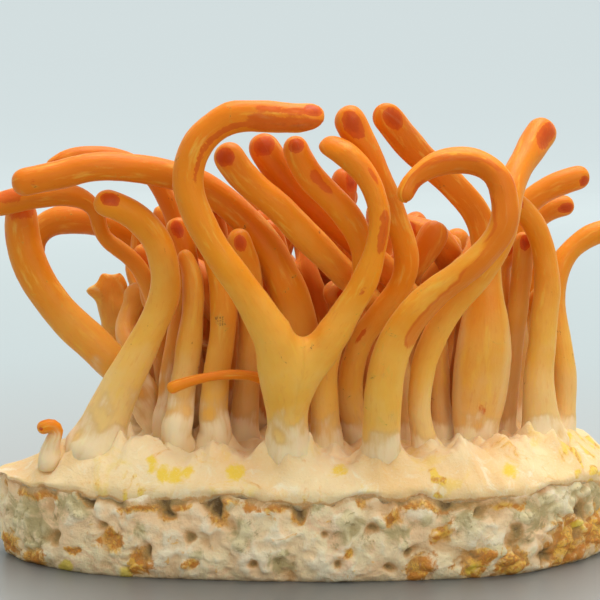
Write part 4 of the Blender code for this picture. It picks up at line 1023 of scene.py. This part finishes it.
def dressMat(paint, paths):
    low, top = block["cakeTop"] / mm, block["matTop"] / mm
    # height and inset of the mat's edge, from inside the block's side up over the rounded shoulder
    side = [(low - 2.4, 2.4), (low - 1.7, 1.3), (low - 1.0, 0.65), (low - 0.3, 0.35), (low + 0.4, 0.4),
            (low + 1.1, 0.8), (low + 1.7, 1.4), (low + 2.3, 2.2), (low + 2.8, 3.1), (low + 3.2, 4.1),
            (low + 3.5, 5.2), (top - 0.3, 6.4)]
    angles = evenAngles(matLook["round"])
    rings = [ringAt(angles, inset * mm, h * mm) for h, inset in side]
    rim = ringAt(angles, matLook["brim"], (top - 0.25) * mm)
    rings += [rim * (share, share, 1) for share in np.linspace(0.985, 0.02, matLook["rings"])]
    made = newObject("mycelium_mat_down", meshFromRings("mycelium_mat_down", np.array(rings)))
    mesh = made.data
    coords = pointsOf(mesh)
    start = coords[:, 2] / mm
    onTop = smoothStep(start, low + 0.6, top - 0.4)
    rise, among = np.zeros(len(coords)), np.zeros(len(coords))
    # collars of down climb the feet of the stems
    for name in [n for n in paths if n not in branches]:
        x, y, _, r = paths[name][0]
        away = np.hypot(coords[:, 0] - x, coords[:, 1] - y)
        collar = matLook["collar"] * (0.4 + 0.6 * (r / (2.5 * mm)))
        gap = np.maximum(0, away - 1.05 * r)
        climb = 0.8 * np.exp(-(gap / matLook["spread"]) ** 1.5) + 0.6 * np.exp(-gap / (1.2 * mm))
        rise = np.maximum(rise, collar * climb)
        # painted shade: how thickly stem feet crowd round each point
        among += np.exp(-(away / (4.2 * mm)) ** 2)
    rise *= 0.75 + 0.9 * noiseAt(coords, 2.4 * mm, 17.0)
    webs = ridgesAt(coords * (1, 0.6, 1), 3.4 * mm, 5.0)
    for x, y, radius, height in matLook["mounds"]:
        away = np.hypot(coords[:, 0] - x * mm, coords[:, 1] - y * mm) / (radius * mm * 1.5)
        rise = np.maximum(rise, (0.45 + 0.5 * webs) * height * mm * np.exp(-away ** 2 * 1.4))
    granule = nearSpots(coords[:, 0], coords[:, 1], matLook["granules"])
    bead = np.clip(0.62 - grainField(coords, 2.1 * mm, 40.0)[0], 0, 1)
    rise += noiseAt(coords, 6 * mm, 3.0) * matLook["lump"]
    rise += noiseAt(coords, 2.2 * mm, 8.0) * matLook["small"]
    coords[:, 2] += onTop * (rise + granule * bead * matLook["bead"])
    coords[:, 2] += onTop * noiseAt(coords, 0.8 * mm, 19.0) * matLook["down"]
    coords[:, 2] -= sunk(coords[:, 0]) * smoothStep(start, low - 1, top - 0.5)
    coords[:, 2] += seamShift(coords) * (1 - smoothStep(start, low - 1.2, low + 1.6))
    # the mat's edge is ragged, and in places tucked away under it
    wall = 1 - smoothStep(start, low + 1.5, low + 3.4)
    tuck = 1 - smoothStep(start, low - 2.0, low + 0.2)
    notch = smoothStep(noiseAt(coords, 3.5 * mm, 61.0), 0.0, 0.4)
    ragged = noiseAt(coords, 2.2 * mm, 27.0) * 0.60 * mm + noiseAt(coords, 7 * mm, 2.0) * 0.55 * mm
    ragged += (noiseAt(coords, 1.3 * mm, 33.0) * 0.5 - notch) * tuck * mm
    coords += outwardFrom(coords) * (wall * ragged)[:, None]
    coords[:, 2] = np.clip(coords[:, 2], (low - 5.0) * mm, (top + 5.2) * mm)
    setCoords(mesh, keptInside(coords, 2))
    fields = {"border": 1 - smoothStep(start, low - 1.5, low - 0.1),
              "spot": nearSpots(coords[:, 0], coords[:, 1], matLook["yellow"]),
              "granule": granule * smoothStep(bead, 0.05, 0.35),
              "among": np.clip(among - 0.6, 0, 1)}
    for key, field in fields.items():
        writeField(mesh, key, field)
    finishPiece(made, paint, "mycelium_mat")


# what a user would change on the backdrop, the lights (place, size, power, tint) and the view
stageLook = {
    "flat": 0.9, "rim": 2.2, "height": 2.4, "flatRings": 12, "risingRings": 21, "sides": 96,
    "contactShadow": (0.18, 0.178, 0.168), "floor": (0.40, 0.41, 0.405), "haze": (0.475, 0.545, 0.545),
    "air": (0.615, 0.69, 0.70),
    "lights": {"topLight": ((0.10, 0.12, 0.85), 0.7, 7.9, (1.0, 0.985, 0.95)),
               "fillLight": ((0.35, -0.70, 0.50), 0.6, 2.0, (1.0, 0.97, 0.91))},
    "sky": 0.55, "skyTint": (0.86, 0.87, 0.86, 1),
    "eye": (-0.0008, -0.293, 0.0761), "lookDown": 6.75, "focalPixels": 1690}


def softBackdrop():
    # a wide pale bowl: level under the block and rising far away, so no edge shows
    bm = bmesh.new()
    flat, widen = stageLook["flat"], stageLook["rim"] - stageLook["flat"]
    inner, outer, sides = stageLook["flatRings"], stageLook["risingRings"], stageLook["sides"]
    around = np.linspace(0, 2 * math.pi, sides, endpoint=False)
    rings = []
    middle = bm.verts.new((0, 0, 0))
    for k in range(1, inner + outer + 1):
        t = max(0, k - inner) / outer
        radius = flat * (k / inner) ** 1.6 if k <= inner else flat + widen * math.sin(t * math.pi / 2)
        height = stageLook["height"] * (1 - math.cos(t * math.pi / 2))
        rings.append([bm.verts.new((radius * math.cos(a), radius * math.sin(a), height)) for a in around])
    for k in range(sides):
        bm.faces.new((middle, rings[0][k], rings[0][(k + 1) % sides]))
    for low, high in zip(rings, rings[1:]):
        for k in range(sides):
            bm.faces.new((low[k], high[k], high[(k + 1) % sides], low[(k + 1) % sides]))
    mesh = bpy.data.meshes.new("backdrop")
    bm.to_mesh(mesh)
    bm.free()
    mesh.shade_smooth()
    made = newObject("backdrop", mesh)
    paint = Paint("palePaper", {"Roughness": 0.35, "Specular IOR Level": 0.3, "Emission Strength": 1.0})
    gap = paint.add("ShaderNodeVectorMath", {"operation": "LENGTH"}, {0: paint.place()}, 1)
    far = paint.step(gap, 0.055, 0.24)
    # painted contact shadow: the floor darker close round the block
    floor = paint.mix(paint.step(gap, 0.038, 0.085), stageLook["contactShadow"], stageLook["floor"])
    paint.drive("Base Color", paint.mix(far, floor, (0.02, 0.02, 0.02)))
    glow = paint.mix(paint.step(gap, 0.3, 1.6), stageLook["haze"], stageLook["air"])
    paint.drive("Emission Color", paint.mix(far, (0, 0, 0), glow))
    mesh.materials.append(paint.material)


def softLight(name, place, size, power, tint):
    lamp = bpy.data.lights.new(name, "AREA")
    lamp.shape = "DISK"
    lamp.size = size
    lamp.energy = power
    lamp.color = tint
    made = newObject(name, lamp)
    made.location = place
    made.rotation_euler = (Vector((0, 0, 0.04)) - Vector(place)).to_track_quat("-Z", "Y").to_euler()


paths, nodes = stemPaths()
print("stem paths ready:", len(paths))
flesh = fleshPaint()
rng = random.Random(5)
for node, group in nodes.items():
    dressStem(node, group, paths, flesh, rng)
print("stems dressed:", len(nodes))
dressCake(grainPaint())
print("block dressed")
dressMat(myceliumPaint(), paths)
print("mat dressed")

softBackdrop()
for name, light in stageLook["lights"].items():
    softLight(name, *light)
world = bpy.context.scene.world or bpy.data.worlds.new("softRoom")
bpy.context.scene.world = world
world.use_nodes = True
sky = world.node_tree.nodes["Background"]
sky.inputs["Color"].default_value = stageLook["skyTint"]
sky.inputs["Strength"].default_value = stageLook["sky"]
bpy.context.scene.view_settings.view_transform = "Standard"

lens = bpy.data.cameras.new("photoCamera")
lens.lens = stageLook["focalPixels"] / 600 * 36  # the photo is 600 pixels wide, the sensor 36 mm
lens.clip_start = 0.01
lens.clip_end = 20
camera = newObject("photoCamera", lens)
camera.location = stageLook["eye"]
camera.rotation_euler = (math.radians(90 - stageLook["lookDown"]), 0, 0)
bpy.context.scene.camera = camera
print("stage ready")
